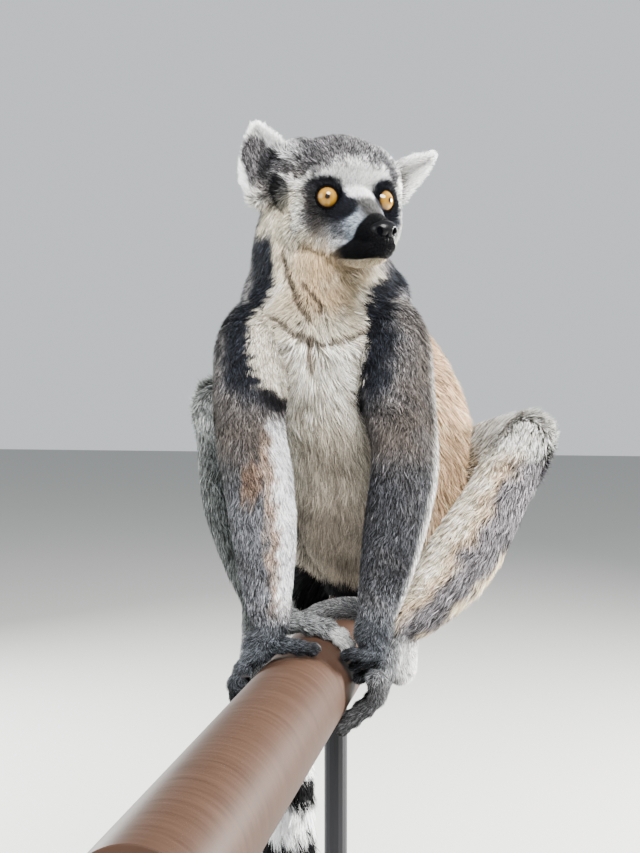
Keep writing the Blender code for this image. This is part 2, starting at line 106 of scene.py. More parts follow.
def smooth_path(stations, steps):
    """A smooth curve through the stations; a round station's one radius serves both ways."""
    rows = np.array([(*s, s[3]) if len(s) == 4 else s for s in stations], float)
    ends = np.vstack([2 * rows[0] - rows[1], rows, 2 * rows[-1] - rows[-2]])
    path = []
    for a, b, c, d in zip(ends, ends[1:], ends[2:], ends[3:]):
        for t in np.arange(steps) / steps:
            curve = 2 * b + (c - a) * t + (2 * a - 5 * b + 4 * c - d) * t**2 + (3 * b - a - 3 * c + d) * t**3
            path.append(0.5 * curve)
    return np.array([*path, rows[-1]])


def head_rows(rows):
    """Stations given in the head's own frame."""
    return [(*from_head(r[:3]), *r[3:]) for r in rows]


def toe_rows(rows, y, reach=1.0):
    """Stations of a toe bent round the rail, from its angle, side step, lift and half width."""
    made = []
    for angle, step, lift, half in rows:
        angle = 80 + (angle - 80) * reach
        made.append((*round_rail(angle, y + step, RAIL_RADIUS + lift), half))
    return made


# Each strand: its region, its stations (x, y, z, half width, half depth) out to the tips of the
# coat, and the coat's depth at its first and last station.
STRANDS = [
    ("trunk", [
        (5, 50, 286, 41, 38), (1.5, 48, 268, 42.5, 39), (1.5, 50, 252, 46.5, 41),
        (2, 57, 236, 55, 46.5), (4, 66, 216, 55, 52), (12, 79, 194, 58.5, 57), (24, 93, 164, 63.5, 61),
        (30, 107, 132, 66.5, 63), (31, 120, 104, 64, 62), (31, 132, 82, 57, 55), (31, 143, 68, 48, 46),
    ], (4.2, 12)),
    ("arm_right", [
        (-28, 53, 224, 21, 26), (-38, 40, 205, 24.5, 29), (-38, 24, 182, 23, 27),
        (-34, 6, 154, 21.5, 23), (-26, -9, 126, 21, 21), (-20, -20, 94, 19, 18), (-17, -26, 65, 15, 14),
        (-14.5, -29, 45, 11.5, 11),
    ], (5.2, 2.0)),
    ("arm_left", [
        (36, 56, 226, 20, 25), (46, 46, 207, 24, 28), (52, 30, 176, 23, 25), (58, 13, 146, 20.5, 22),
        (58, 6, 124, 20, 21), (53, 2, 94, 18.5, 18), (47, 2, 64, 15, 14), (43, 3, 47, 12, 11),
    ], (5.2, 2.0)),
    ("thigh_right", [
        (4, 146, 78, 34, 42), (-30, 119, 112, 32, 36), (-54, 92, 145, 24, 26), (-68, 72, 167, 18.5, 20),
    ], (10, 5)),
    ("shank_right", [
        (-68, 70, 166, 18.5, 20), (-62, 57, 137, 18, 20), (-57, 46, 107, 17, 19),
        (-46, 35, 77, 14.5, 16.5), (-35, 27, 53, 12, 13), (-32, 23, 42, 11.5, 12.5),
    ], (5, 2.6)),
    ("thigh_left", [
        (56, 150, 80, 35, 42), (84, 126, 110, 34, 38), (108, 104, 131, 26, 28), (127, 88, 145, 19, 20),
    ], (10, 5)),
    ("shank_left", [
        (127, 86, 144.5, 19, 20), (111, 67, 112, 20, 22), (91, 47, 77, 22, 23), (69, 30, 49, 16.5, 18),
        (54, 21, 40, 12, 13),
    ], (5, 3)),
    ("tail", [
        (30, 168, 66, 19), (24, 192, 60, 17), (2, 211, 50, 17), (-26, 214, 34, 17.5),
        (-45, 205, 2, 18.5), (-49, 195, -48, 20), (-48, 187, -108, 20.5), (-46, 181, -168, 21),
        (-44, 178, -220, 21), (-43, 170, -262, 21), (-42, 150, -292, 21), (-41, 122, -303, 21),
        (-40, 95, -290, 20.5), (-39, 80, -262, 19), (-39, 78, -236, 15),
    ], (9, 11.5)),
    ("head", head_rows([
        (0, 20, -6, 22, 21), (0, 34, -10.5, 16, 17), (0, 46, -15.5, 11.5, 13.5),
        (0, 54, -18.5, 9.5, 11.8), (0, 60.5, -20.5, 9, 10.4),
    ]), (1.6, 0.7)),
    ("head", head_rows([
        (0, 24, -23, 17, 10), (0, 38, -26, 13.5, 8.6), (0, 48, -27.2, 12, 8), (0, 56, -28, 10.2, 7.4),
        (0.5, 61.5, -28, 9.4, 7.2),
    ]), (1.6, 0.7)),
    ("head", head_rows([
        (0, 4, -22, 22, 14), (0, 26, -28, 15, 9.5), (0, 44, -33, 10, 6.3), (0.5, 58, -33.4, 8.2, 5.2),
    ]), (3.5, 2.0)),
    # right hand: its back, the thumb over the rail, four fingers down the rail's side
    ("hand", [
        (-14.5, -29, 46, 11, 10.5), (-16, -31, 38, 11, 8.5), (-21, -34, 31, 10.5, 7),
    ], (2.2, 1.4)),
    ("hand", [
        (-18, -36, 33.5, 6.5), (-7, -36, 34.5, 5.6), (3, -34, 33, 4.9), (9.5, -31, 31.5, 4.4),
    ], (1.2, 0.8)),
    ("hand", [
        (-22, -38, 28, 6), (-27, -43, 21.5, 5.2), (-31, -47, 14.5, 4.6), (-30, -49, 11, 4.3),
        (-27, -48, 14, 4.1),
    ], (1.2, 0.8)),
    ("hand", [
        (-23, -34, 27, 6), (-29, -38, 20, 5.2), (-33, -40, 11.5, 4.7), (-32, -41, 4.5, 4.4),
        (-30, -40, 0, 4.1),
    ], (1.2, 0.8)),
    ("hand", [
        (-23, -29, 27, 6), (-29.5, -30, 20, 5.2), (-33.5, -31, 10.5, 4.7), (-33, -31, 2, 4.4),
        (-31, -30, -3, 4.1),
    ], (1.2, 0.8)),
    ("hand", [
        (-23, -25, 27, 5.6), (-29, -22, 20, 4.8), (-33, -20, 10, 4.5), (-31.5, -19, 1.5, 4.1),
    ], (1.2, 0.8)),
    # left hand: its back and three fingers curled in towards the rail
    ("hand", [(43, 3, 48, 11.5, 10.5), (42, 3, 40, 12.5, 9.5), (40, 4, 33, 12, 9)], (2.2, 1.4)),
    ("hand", [
        (43, 1, 32, 6), (44.5, -2, 25.5, 5.2), (38, -3, 23.5, 4.8), (31, -1, 23, 4.5),
        (26, 2, 21.5, 4.1),
    ], (1.2, 0.8)),
    ("hand", [
        (44, 6, 28, 5.6), (43.5, 5, 20, 5.1), (36.5, 5, 17.5, 4.8), (30.5, 7, 14.5, 4.3),
    ], (1.2, 0.8)),
    ("hand", [(44, 13, 27, 5.6), (44.5, 13, 17, 5), (38.5, 13, 9, 4.8), (32, 14, 6, 4.3)], (1.2, 0.8)),
    # right foot: its heel, sole and great toe; the other toes follow below
    ("foot", [(-32, 23, 42, 11, 12), (-35, 27, 26, 10, 12), (-37.5, 31, 9, 10, 13)], (2.4, 1.6)),
    ("foot", [(-33, 22, 26, 9, 11), (-34, 15, 10, 8, 12.5), (-35, 13, -1, 7.5, 13)], (1.8, 1.4)),
    ("foot", [
        (-28, 25, 36, 9), (-14, 25, 36, 8.2), (-2, 25, 34.6, 7.4), (9, 25, 32, 6.8),
        (17, 25, 27.5, 6.2), (21, 25, 23, 5.4),
    ], (1.8, 0.9)),
    # left foot: the same
    ("foot", [(54, 21, 41, 11.5, 12), (54, 27, 25, 11.5, 12.5), (53.5, 31, 9, 11, 13.5)], (2.6, 1.8)),
    ("foot", [(51, 22, 28, 10, 11), (47, 15, 14, 9, 12), (43, 12, 1, 7, 13)], (2, 1.4)),
    ("foot", [
        (50, 30, 32, 9), (40, 42, 38, 8.4), (20, 53, 40, 7.6), (2, 57, 36.5, 7), (-8, 58, 32, 6),
    ], (1.8, 0.9)),
]
right_toe = [(-94, 0, 8.5, 5.8), (-110, -1, 8, 5.2), (-127, -2, 6.8, 4.8), (-143, -3, 5.2, 4.4)]
left_toe = [(80, 0, 17, 6.4), (94, 0, 16, 5.6), (104, -1, 12, 5.1), (117, -2, 7.5, 4.7), (131, -3, 5, 4.3)]
STRANDS += [("foot", toe_rows(right_toe, y), (1.1, 0.7)) for y in (2, 10, 18, 26)]
for y, reach in ((1, 1.0), (9, 1.04), (17, 1.02), (24, 0.94)):
    STRANDS.append(("foot", toe_rows(left_toe, y, reach), (1.1, 0.7)))

# Round masses of rump and head: region, middle, radii and depth of coat; the head's are in its own frame
MASSES = [
    ("trunk", (31, 138, 62), (50, 40, 38), 12),
    ("head", (2, 0, 9.5), (40, 35, 36), 3.4),
    ("head", (-20, -6, 17.5), (21, 25, 26), 3.4),
    ("head", (23, -6, 16.5), (23, 25, 26), 3.4),
    ("head", (0, 18, -4), (33, 16, 27), 1.4),
]
for aside, ahead, above, radii, depth in (
    (21, 2, -13, (19, 22, 20), 4.5),
    (15, 19, 12, (14, 12, 12), 2),
    (23, 17, -10, (13, 13, 15), 4.5),
):
    MASSES += [("head", (side * aside, ahead, above), radii, depth) for side in (-1, 1)]
# Each ear: its root, its tip, the way it opens, and half its width
EARS = {
    "ear_right": ((-39.5, -5, 15), (-47, -15, 51), (-0.55, 0.83, 0.1), 18.0),
    "ear_left": ((37, -3, 18), (66, 5, 37.5), (0.3, 0.9, -0.45), 14.5),
}


def ear_frame(spec):
    """An ear's root and length, and its ways up, out of its hollow and across."""
    root, tip, front = (np.array(v, float) for v in spec[:3])
    up = unit(tip - root)
    front = unit(front - up * front.dot(up))
    return root, np.linalg.norm(tip - root), up, front, np.cross(up, front)


def ear_leaf(spec, rows, columns, rim=0.0):
    """A grid of points over the cupped ear in the head's frame, rim millimetres short of its edge."""
    root, length, up, front, across = ear_frame(spec)
    t = np.linspace(0, 1, rows + 1)[:, None, None]
    s = np.linspace(-1, 1, columns + 1)[None, :, None]
    narrowing = np.maximum(0, 1 - np.maximum(0, (t - 0.25) / 0.75) ** 1.6) ** 0.72
    half = spec[3] * narrowing * (0.84 + 0.16 * np.minimum(1, t / 0.25))
    half = np.maximum(half - rim, 1.2)
    cup = 9 * (s * s - 0.45) * (1.25 - 0.8 * t)
    return root + up * (t * (length - rim) - 9 * (1 - t)) + across * (s * half) + front * cup


def add_tube(form, stations, depths, steps=5, sides=20):
    """A closed tube with round ends through the stations, drawn in by the coat's depth."""
    path = smooth_path(stations, steps)
    is_digit = depths[1] < 1 and path[-1][3] < 6
    if is_digit:
        knuckles = np.cos(math.tau * np.arange(len(path)) / steps)
        path[:, 3:] *= 1 + 0.09 * knuckles[:, None]
    shrink = np.linspace(depths[0], depths[1], len(path))
    points = [Vector(p[:3]) for p in path]
    ways = [(b - a).normalized() for a, b in zip(points, points[1:])]
    ways = [ways[0], *[(a + b).normalized() for a, b in zip(ways, ways[1:])], ways[-1]]
    rings = [(p, w, r[3] - c, r[4] - c) for p, w, r, c in zip(points, ways, path, shrink)]
    first, last = rings[0], rings[-1]
    for out, share in ((0.4, 0.92), (0.7, 0.72), (0.9, 0.44), (0.98, 0.2)):
        reach = out * min(first[2], first[3])
        rings.insert(0, (first[0] - first[1] * reach, first[1], first[2] * share, first[3] * share))
        reach = out * min(last[2], last[3])
        rings.append((last[0] + last[1] * reach, last[1], last[2] * share, last[3] * share))
    across = Vector((1, 0, 0))
    loops = []
    for point, way, width, depth in rings:
        across = (across - way * way.dot(across)).normalized()
        up = way.cross(across)
        loop = []
        for k in range(sides):
            angle = math.tau * k / sides
            spot = point + across * (width * math.cos(angle)) + up * (depth * math.sin(angle))
            loop.append(form.verts.new(to_row(spot)))
        loops.append(loop)
    for low, high in zip(loops, loops[1:]):
        for k in range(sides):
            form.faces.new((low[k], low[(k + 1) % sides], high[(k + 1) % sides], high[k]))
    form.faces.new(loops[0][::-1])
    form.faces.new(loops[-1])


def add_ball(form, middle, radii, axes=None):
    turn = Matrix(axes.T.tolist()).to_4x4() if axes is not None else Matrix.Identity(4)
    matrix = Matrix.Translation(to_row(middle)) @ turn @ Matrix.Diagonal((*[r * 0.001 for r in radii], 1.0))
    bmesh.ops.create_uvsphere(form, u_segments=32, v_segments=20, radius=1.0, matrix=matrix)


def add_ear(form, spec, thickness):
    """The leaf's grid of faces, front and back, closed round its edge."""
    grid = ear_leaf(spec, 16, 14, rim=1.8)
    side = np.cross(np.gradient(grid, axis=0), np.gradient(grid, axis=1))
    side = unit(side) * thickness / 2
    sheets = []
    for shift in (side, -side):
        sheets.append([[form.verts.new(to_row(from_head(p))) for p in row] for row in grid + shift])
    rows, columns = len(grid), len(grid[0])
    for number, sheet in enumerate(sheets):
        for i in range(rows - 1):
            for j in range(columns - 1):
                quad = (sheet[i][j], sheet[i][j + 1], sheet[i + 1][j + 1], sheet[i + 1][j])
                form.faces.new(quad if number else quad[::-1])
    rim = [(0, j) for j in range(columns)] + [(i, columns - 1) for i in range(1, rows)]
    rim += [(rows - 1, j) for j in range(columns - 2, -1, -1)] + [(i, 0) for i in range(rows - 2, 0, -1)]
    for (a, b), (c, d) in zip(rim, rim[1:] + rim[:1]):
        form.faces.new((sheets[0][a][b], sheets[0][c][d], sheets[1][c][d], sheets[1][a][b]))


def new_object(name, form):
    bmesh.ops.recalc_face_normals(form, faces=form.faces)
    mesh = bpy.data.meshes.new(name)
    form.to_mesh(mesh)
    form.free()
    made = bpy.data.objects.new(name, mesh)
    bpy.context.scene.collection.objects.link(made)
    return made


def apply_modifiers(made):
    """Makes what the modifiers show the object's own mesh."""
    bpy.context.view_layer.update()
    mesh = bpy.data.meshes.new_from_object(made.evaluated_get(bpy.context.evaluated_depsgraph_get()))
    made.modifiers.clear()
    old, made.data = made.data, mesh
    bpy.data.meshes.remove(old)
    return made


def fuse(made, voxel, passes):
    """One smoothed closed surface round all that is in the object, with faces of the voxel's size."""
    remesh = made.modifiers.new("remesh", "REMESH")
    remesh.mode = "VOXEL"
    remesh.voxel_size = voxel * 0.001
    smooth = made.modifiers.new("smooth", "SMOOTH")
    smooth.factor = 0.5
    smooth.iterations = passes
    return apply_modifiers(made)


def read(rows, name):
    """Three numbers of each row of a mesh's data."""
    flat = np.empty(len(rows) * 3, np.float32)
    rows.foreach_get(name, flat)
    return flat.reshape(-1, 3).astype(float)


def write(rows, name, values):
    rows.foreach_set(name, np.asarray(values).astype(np.float32).ravel())


def spots_of(made):
    return from_row(read(made.data.vertices, "co"))


def move_spots(made, points):
    write(made.data.vertices, "co", to_row(points))


form = bmesh.new()
for region, middle, radii, depth in MASSES:
    if region == "head":
        add_ball(form, from_head(middle), [r - depth for r in radii], HEAD_AXES)
    else:
        add_ball(form, middle, [r - depth for r in radii])
# the palms, tilted round the rail
add_ball(form, (-22, -34, 28), (9, 12, 5.5), np.array(Matrix.Rotation(math.radians(38), 3, "Y")))
add_ball(form, (40, 5, 31), (11, 11, 7.5), np.array(Matrix.Rotation(math.radians(-40), 3, "Y")))
for region, stations, depths in STRANDS:
    add_tube(form, stations, depths, sides=28 if region == "trunk" else 20)
for spec in EARS.values():
    add_ear(form, spec, thickness=2.4)
skin = fuse(new_object("skin", form), voxel=1.15, passes=5)

# Each eye: the middle of its ball and its line of sight, which splays outwards
EYE_RADIUS, EYE_OPEN, EYE_SPLAY = 8.3, math.radians(47), math.radians(22)
EYES = {}
for name, side in (("eye_right", -1), ("eye_left", 1)):
    gaze = np.array((side * math.sin(EYE_SPLAY), math.cos(EYE_SPLAY), 0.0)) @ HEAD_AXES
    EYES[name] = (from_head((side * 17.3, 25.6, 3.0)), gaze)


def press_lids(points):
    """Lids: a smooth rim round each open eye, resting on the eyeball, with a crease above it."""
    for middle, gaze in EYES.values():
        d = points - middle
        r = np.linalg.norm(d, axis=1)
        near = np.nonzero((r < 17) & (d @ gaze > -6))[0]
        d, r = d[near], r[near]
        theta = np.arccos(np.clip((d / r[:, None]) @ gaze, -1, 1))
        up = d[:, 2] / r
        opening = EYE_OPEN - 0.05 * ease(up, 0.2, 0.7)
        past = theta - opening
        lid = 8.45 + 1.1 * ease(past, 0.0, 0.14) - 0.7 * bump(past, 0.3, 0.06) * ease(up, -0.2, 0.3)
        lid = lid + 0.7 * ease(past, 0.34, 0.56) - 14 * np.maximum(0, past - 0.6) ** 2
        covered = 0.5 * (lid + r + np.sqrt((lid - r) ** 2 + 0.8))
        out = np.where(past > 0, covered, 6.6 + 1.85 * ease(past, -0.14, 0.0))
        points[near] = middle + d / r[:, None] * out[:, None]
    return points


# The line of the lips from its corner to the middle, and the creases of throat and chest
MOUTH = [(14, 28, -31.8), (12.5, 36, -32.9), (10.8, 46, -33.9), (9.3, 55, -34.4)]
MOUTH += [(5.5, 64.5, -34.6), (0, 67, -34.4)]
FOLDS = [
    [(-15, 0, 261, 0.4), (-11, 0, 247, 1.0), (-8, 0, 237, 1.0), (-3, 0, 226, 1.0), (1, 0, 221, 0.6)],
    [(-3, 0, 244, 0.3), (1.5, 0, 238, 0.9), (6.4, 0, 231, 0.9), (6.8, 0, 226, 0.3)],
    [(-23, 0, 224, 0.3), (-15, 0, 219.5, 0.8), (-9, 0, 214, 1.0), (-0.7, 0, 211, 1.3)],
    [(-0.7, 0, 211, 1.3), (7.4, 0, 207.5, 1.2), (18, 0, 209.5, 1.0), (26, 0, 213, 0.6), (31, 0, 215, 0.2)],
    [(-0.7, 0, 209, 1.0), (-0.2, 0, 199, 0.9), (1.3, 0, 190, 0.3)],
]


def press_mouth(points):
    """The line between the lips, from corner to corner, with the upper lip a little proud of it."""
    h = to_head(points)
    near = np.nonzero((h[:, 1] > 22) & (h[:, 2] < -16) & (np.abs(h[:, 0]) < 20))[0]
    spot = np.column_stack([np.abs(h[near, 0]), h[near, 1], h[near, 2]])
    path = smooth_path([(*p, 0, 0) for p in MOUTH], 8)[:, :3]
    gap = np.linalg.norm(spot[:, None] - path[None], axis=2)
    nearest = path[gap.argmin(1)]
    gap = gap.min(1)
    outward = unit(spot - np.array((0, 38, -22.0)))
    above = spot[:, 2] - nearest[:, 2]
    lip = 0.7 * bump(above, 2.2, 1.8) * bump(gap, 0, 5)
    spot = spot + outward * (lip - 1.4 * bump(gap, 0, 0.95))[:, None]
    spot[:, 0] *= np.where(h[near, 0] < 0, -1, 1)
    points[near] = from_head(spot)
    return points


def near_line(points, line):
    """Distance to a line of balls (x, y, z, radius), less the radius."""
    line = np.array(line, float)
    best = np.full(len(points), 1e9)
    for a, b in zip(line, line[1:]):
        t = np.clip(((points - a[:3]) @ (b - a)[:3]) / ((b - a)[:3] @ (b - a)[:3]), 0, 1)
        gap = np.linalg.norm(points - a[:3] - t[:, None] * (b - a)[:3], axis=1) - a[3] - t * (b[3] - a[3])
        best = np.minimum(best, gap)
    return best


def folds(points):
    """1 in the creases of throat and collar and down the middle of the chest, 0 away from them."""
    flat = points * (1, 0, 1)
    gap = np.min([near_line(flat, line) for line in FOLDS], axis=0)
    return ease(gap, 2.0, 0.0) * ease(points[:, 1], 40, 30)


points = press_mouth(press_lids(spots_of(skin)))
points -= read(skin.data.vertex_normals, "vector") * (3.2 * folds(points))[:, None]
move_spots(skin, points)

# Fewer faces where the coat is deep: the weights keep head, hands and feet fine
weight = skin.vertex_groups.new(name="coarse")
h = to_head(points)
fine = (np.linalg.norm(h * (1, 0.9, 1), axis=1) < 62) & (h[:, 1] > -14) & (h[:, 2] > -38)
fine |= (points[:, 2] < 52) & (points[:, 2] > -60) & (np.abs(points[:, 0]) < 66) & (points[:, 1] < 66)
weight.add(np.nonzero(~fine)[0].tolist(), 1.0, "REPLACE")
SKIN_TRIANGLES = 180000
thin = skin.modifiers.new("thin", "DECIMATE")
thin.ratio = min(1.0, SKIN_TRIANGLES / sum(len(p.vertices) - 2 for p in skin.data.polygons))
thin.vertex_group = "coarse"
thin.use_collapse_triangulate = True
apply_modifiers(skin)
skin.vertex_groups.clear()

# ---------------------------------------------------------------- Markings
# How the coat lies and what colour it is at any point of the body, worked out from the strands:
# the way the hair runs, how deep it is, and the pattern of a ring-tailed lemur, with painted shade in
# creases and hollows and a painted highlight. The skin is painted here, darker than the coat as painted
# shade between the tufts.

REGIONS = ["head", "trunk", "arm_right", "arm_left", "thigh_right", "thigh_left", "shank_right"]
REGIONS += ["shank_left", "hand", "foot", "tail", "ear_right", "ear_left"]
# One row for each ring, mass and spot of an ear: its place, the way the hair runs, the radius there,
# the coat's depth, how far along the strand it is (0 to 1, then in millimetres) and its region
rows = []
for region, stations, depths in STRANDS:
    path = smooth_path(stations, 5)
    ways = unit(np.gradient(path[:, :3], axis=0))
    along = np.r_[0, np.cumsum(np.linalg.norm(np.diff(path[:, :3], axis=0), axis=1))]
    for k, (spot, way) in enumerate(zip(path, ways)):
        share = k / (len(path) - 1)
        depth = depths[0] + (depths[1] - depths[0]) * share
        radius = (spot[3] + spot[4]) / 2
        rows.append((*spot[:3], *way, radius, depth, share, along[k], REGIONS.index(region)))
for region, middle, radii, depth in MASSES:
    spot = from_head(middle) if region == "head" else np.array(middle)
    rows.append((*spot, 0, 0.3, -1, sum(radii) / 3, depth, 1.0, 300, REGIONS.index(region)))
for name, spec in EARS.items():
    root, length, up, front, across = ear_frame(spec)
    leaf = ear_leaf(spec, 9, 8)
    for i in range(2, 10):
        for j in range(9):
            way = unit(up * 1.0 + across * (j / 4 - 1) * 0.9) @ HEAD_AXES
            rows.append((*from_head(leaf[i, j]), *way, 3.0, 1.8, i / 9, j / 8, REGIONS.index(name)))
table = np.array(rows, np.float32)
PARTS = np.eye(len(REGIONS), dtype=np.float32)[table[:, 10].astype(int)]


def ask_strands(points):
    """The strands' say at each point, near ones counting most: one row of the table's columns, mixed."""
    known = np.hstack([table[:, :10], PARTS])
    spots = table[:, :3].T.copy()
    square = (spots**2).sum(0)
    at_once = 8000
    made = []
    for start in range(0, len(points), at_once):
        p = points[start : start + at_once].astype(np.float32)
        gap = np.sqrt(np.maximum((p**2).sum(1)[:, None] + square - 2 * (p @ spots), 0)) - table[:, 6]
        gap -= gap.min(1, keepdims=True)
        share = np.exp(gap / -2.6)
        made.append((share / share.sum(1, keepdims=True)) @ known)
    return np.vstack(made).astype(float)


class Lie:
    """How the coat lies at points: share of each region, way, depth, and place on the strand."""

    def __init__(self, points, normals, say):
        self.points, self.normals, self.say = points, normals, say
        self.way, self.radius, self.depth = unit(say[:, 3:6]), say[:, 6], say[:, 7]
        self.share, self.along = say[:, 8], say[:, 9]
        self.part = {name: say[:, 10 + k] for k, name in enumerate(REGIONS)}
        off = points - say[:, :3]
        off -= self.way * (off * self.way).sum(1, keepdims=True)
        self.off = off / self.radius[:, None]
        self.head = to_head(points)

    def only(self, keep):
        return Lie(self.points[keep], self.normals[keep], self.say[keep])


def ripple(points, size, seed):
    """A smooth random field between about -1 and 1, with features of about the size given."""
    dice = np.random.default_rng(seed)
    total = np.zeros(len(points))
    for _ in range(7):
        way = dice.normal(size=3)
        way *= math.tau / size * dice.uniform(0.5, 1.3) / np.linalg.norm(way)
        total += np.sin(points @ way + dice.uniform(0, math.tau))
    return total / 2.6


def oval(h, middle, radii):
    """Distance from the middle in units of the radii."""
    return np.linalg.norm((h - middle) / radii, axis=1)


class Paint:
    """Colours laid over each other; speck is how much single tufts differ in lightness."""

    def __init__(self, count, colour, speck):
        self.colour = np.tile(np.array(colour, float), (count, 1))
        self.speck = np.full(count, float(speck))

    def over(self, mask, colour, speck):
        mask = np.clip(mask, 0, 1)
        self.colour += (np.array(colour, float) - self.colour) * mask[:, None]
        self.speck += (speck - self.speck) * mask


# the third of these, the throat's peach, is darkened by painted shade
WHITE, CREAM, PEACH_IN_SHADE = (0.97, 0.97, 0.965), (0.75, 0.72, 0.65), (0.58, 0.495, 0.38)
TAN, BROWN_GREY, GREY = (0.57, 0.475, 0.38), (0.245, 0.226, 0.214), (0.265, 0.268, 0.28)
CHARCOAL, BLACK = (0.085, 0.092, 0.108), (0.024, 0.026, 0.034)


def paint_head(lie):
    h = lie.head
    wob = ripple(lie.points, 9, 3) + 0.5 * ripple(lie.points, 3.5, 4)
    aside, ahead, above = np.abs(h[:, 0]), h[:, 1], h[:, 2]
    both = np.column_stack([aside, ahead, above])
    p = Paint(len(h), WHITE, 0.42)
    cheek = ease(aside, 18, 27) * ease(ahead, 38, 24) * ease(above, -32, -20) * ease(above, 18, 4)
    p.over(0.9 * cheek, (0.50, 0.505, 0.48), 0.5)
    p.over(0.85 * ease(ahead, 32, 41) * ease(above, 4, -4), (0.47, 0.51, 0.56), 0.35)
    # grey under and beside the eye patch
    below = oval(both, (19, 30, -8), (14, 16, 15)) + 0.1 * wob
    p.over(0.9 * ease(below, 1.25, 0.7), (0.30, 0.31, 0.34), 0.5)
    below = oval(both, (21, 28, -9), (8.5, 16, 8)) + 0.12 * wob
    p.over(0.9 * ease(below, 1.3, 0.6), (0.12, 0.125, 0.14), 0.5)
    beside = oval(both, (17, 34, -20), (7, 14, 9)) + 0.08 * wob
    p.over(0.6 * ease(beside, 1.2, 0.6), (0.40, 0.41, 0.43), 0.4)
    # crown cap
    edge = np.interp(aside, [0, 5, 10.7, 17, 23.3, 27, 31, 36], [25, 25, 23.5, 21.5, 18, 14.5, 14, 18])
    edge = edge + np.interp(ahead, [-22, -8, 6], [-60, -18, 0])
    cap = ease(above - edge + 1.8 * wob, -4, 4)
    p.over(cap, (0.21, 0.207, 0.212), 1.0)
    p.over(cap * bump(aside, 26, 8) * ease(ahead, 2, 12) * 0.7, (0.14, 0.14, 0.15), 0.9)
    # eye patch: an oval round the eye, drawn out towards the muzzle
    main = oval(both, (20.0, 27, 3.0), (12.4, 30, 13.6))
    point = oval(both, (11.5, 38, -3.2), (6.2, 14, 6.8))
    patch = -np.log(np.exp(-4 * main) + np.exp(-4 * point)) / 4
    p.over(ease(patch + 0.07 * wob, 1.12, 0.76) * ease(ahead, 8, 15), (0.055, 0.062, 0.082), 0.6)
    # bridge and muzzle
    p.over(0.9 * ease(ahead, 38, 46) * ease(aside, 9, 5) * ease(above, -15, -10), (0.21, 0.205, 0.20), 0.5)
    top = np.interp(ahead, [24, 30, 38, 44, 49, 54, 58], [-31, -29, -25.8, -22.5, -19, -14.5, -9])
    line = np.interp(ahead, [28, 38, 46, 55, 64], [-31.8, -33.2, -34, -34.5, -34.6])
    black = ease(above - top + 0.5 * wob, 1.6, -1.4) * ease(ahead, 21, 26) * ease(above - line, -0.6, 0.2)
    p.over(np.maximum(black, ease(ahead, 57.5, 61) * ease(above - line, -0.6, 0.2)), BLACK, 0.3)
    # chin and throat: their cream and peach fur, darkened by painted shade under the jaw
    p.over(ease(above - line, 0.2, -0.6) * ease(ahead, 20, 30), (0.70, 0.64, 0.54), 0.3)
    p.over(0.85 * ease(above, -22, -32) * ease(ahead, 2, 14) * ease(ahead, 40, 26), PEACH_IN_SHADE, 0.12)
    return p


def chest_edge(points):
    """How far a point lies outside the white chest, in front view, in millimetres."""
    x, z = points[:, 0], points[:, 2]
    heights, edge = [173, 181, 193, 208, 222, 231, 241, 259], [-17, -25, -32, -34.5, -35.5, -26, -19, -22]
    right = np.interp(z, heights, edge) - x
    left = x - np.interp(z, [173, 185, 199, 219, 233, 241, 250], [26.5, 30.5, 32.5, 31.5, 30.5, 33, 44])
    return np.maximum(right, left)


def paint_trunk(lie):
    x, z = lie.points[:, 0], lie.points[:, 2]
    front = -lie.off[:, 1]
    p = Paint(len(x), (0.76, 0.735, 0.685), 0.3)
    p.over(ease(z, 205, 214) * ease(front, 0.2, 0.5), CREAM, 0.08)
    # the throat's peach, darkened by painted shade
    p.over(0.9 * ease(z, 210, 236) * ease(front, 0.3, 0.65) * bump(x, 8, 22), PEACH_IN_SHADE, 0.12)
    streaks = ease(ripple(lie.points * (1, 0.5, 0.4), 12, 41), 0.1, 0.9) * ease(front, 0.2, 0.5)
    p.over(0.5 * streaks, (0.56, 0.54, 0.50), 0.35)
    # painted shade: the belly beige below the chest and darker towards the bottom, its own beige with
    # painted shade under chest and arms
    p.over(0.8 * ease(z, 185, 140) * bump(x, 8, 30), (0.50, 0.465, 0.415), 0.2)
    p.over(0.4 * ease(z, 128, 96), (0.42, 0.38, 0.34), 0.25)
    # painted shadow: black on the front below the belly, in the shade between belly, feet and rail
    low = ease(z + 2 * ripple(lie.points, 6, 19), 56, 50)
    p.over(low * ease(front, 0.0, 0.35) * ease(z, 20, 30), BLACK, 0.3)
    p.over(ease(front, 0.35, -0.1) * ease(z, 44, 56), TAN, 0.45)
    p.over(ease(lie.off[:, 0], 0.4, 0.65) * ease(z, 226, 206), TAN, 0.45)
    p.over(ease(front, 0.2, -0.3) * ease(z, 178, 222), BROWN_GREY, 0.35)
    p.over(ease(front, 0.5, 0.2) * ease(z, 218, 238), (0.27, 0.265, 0.27), 0.5)
    return p


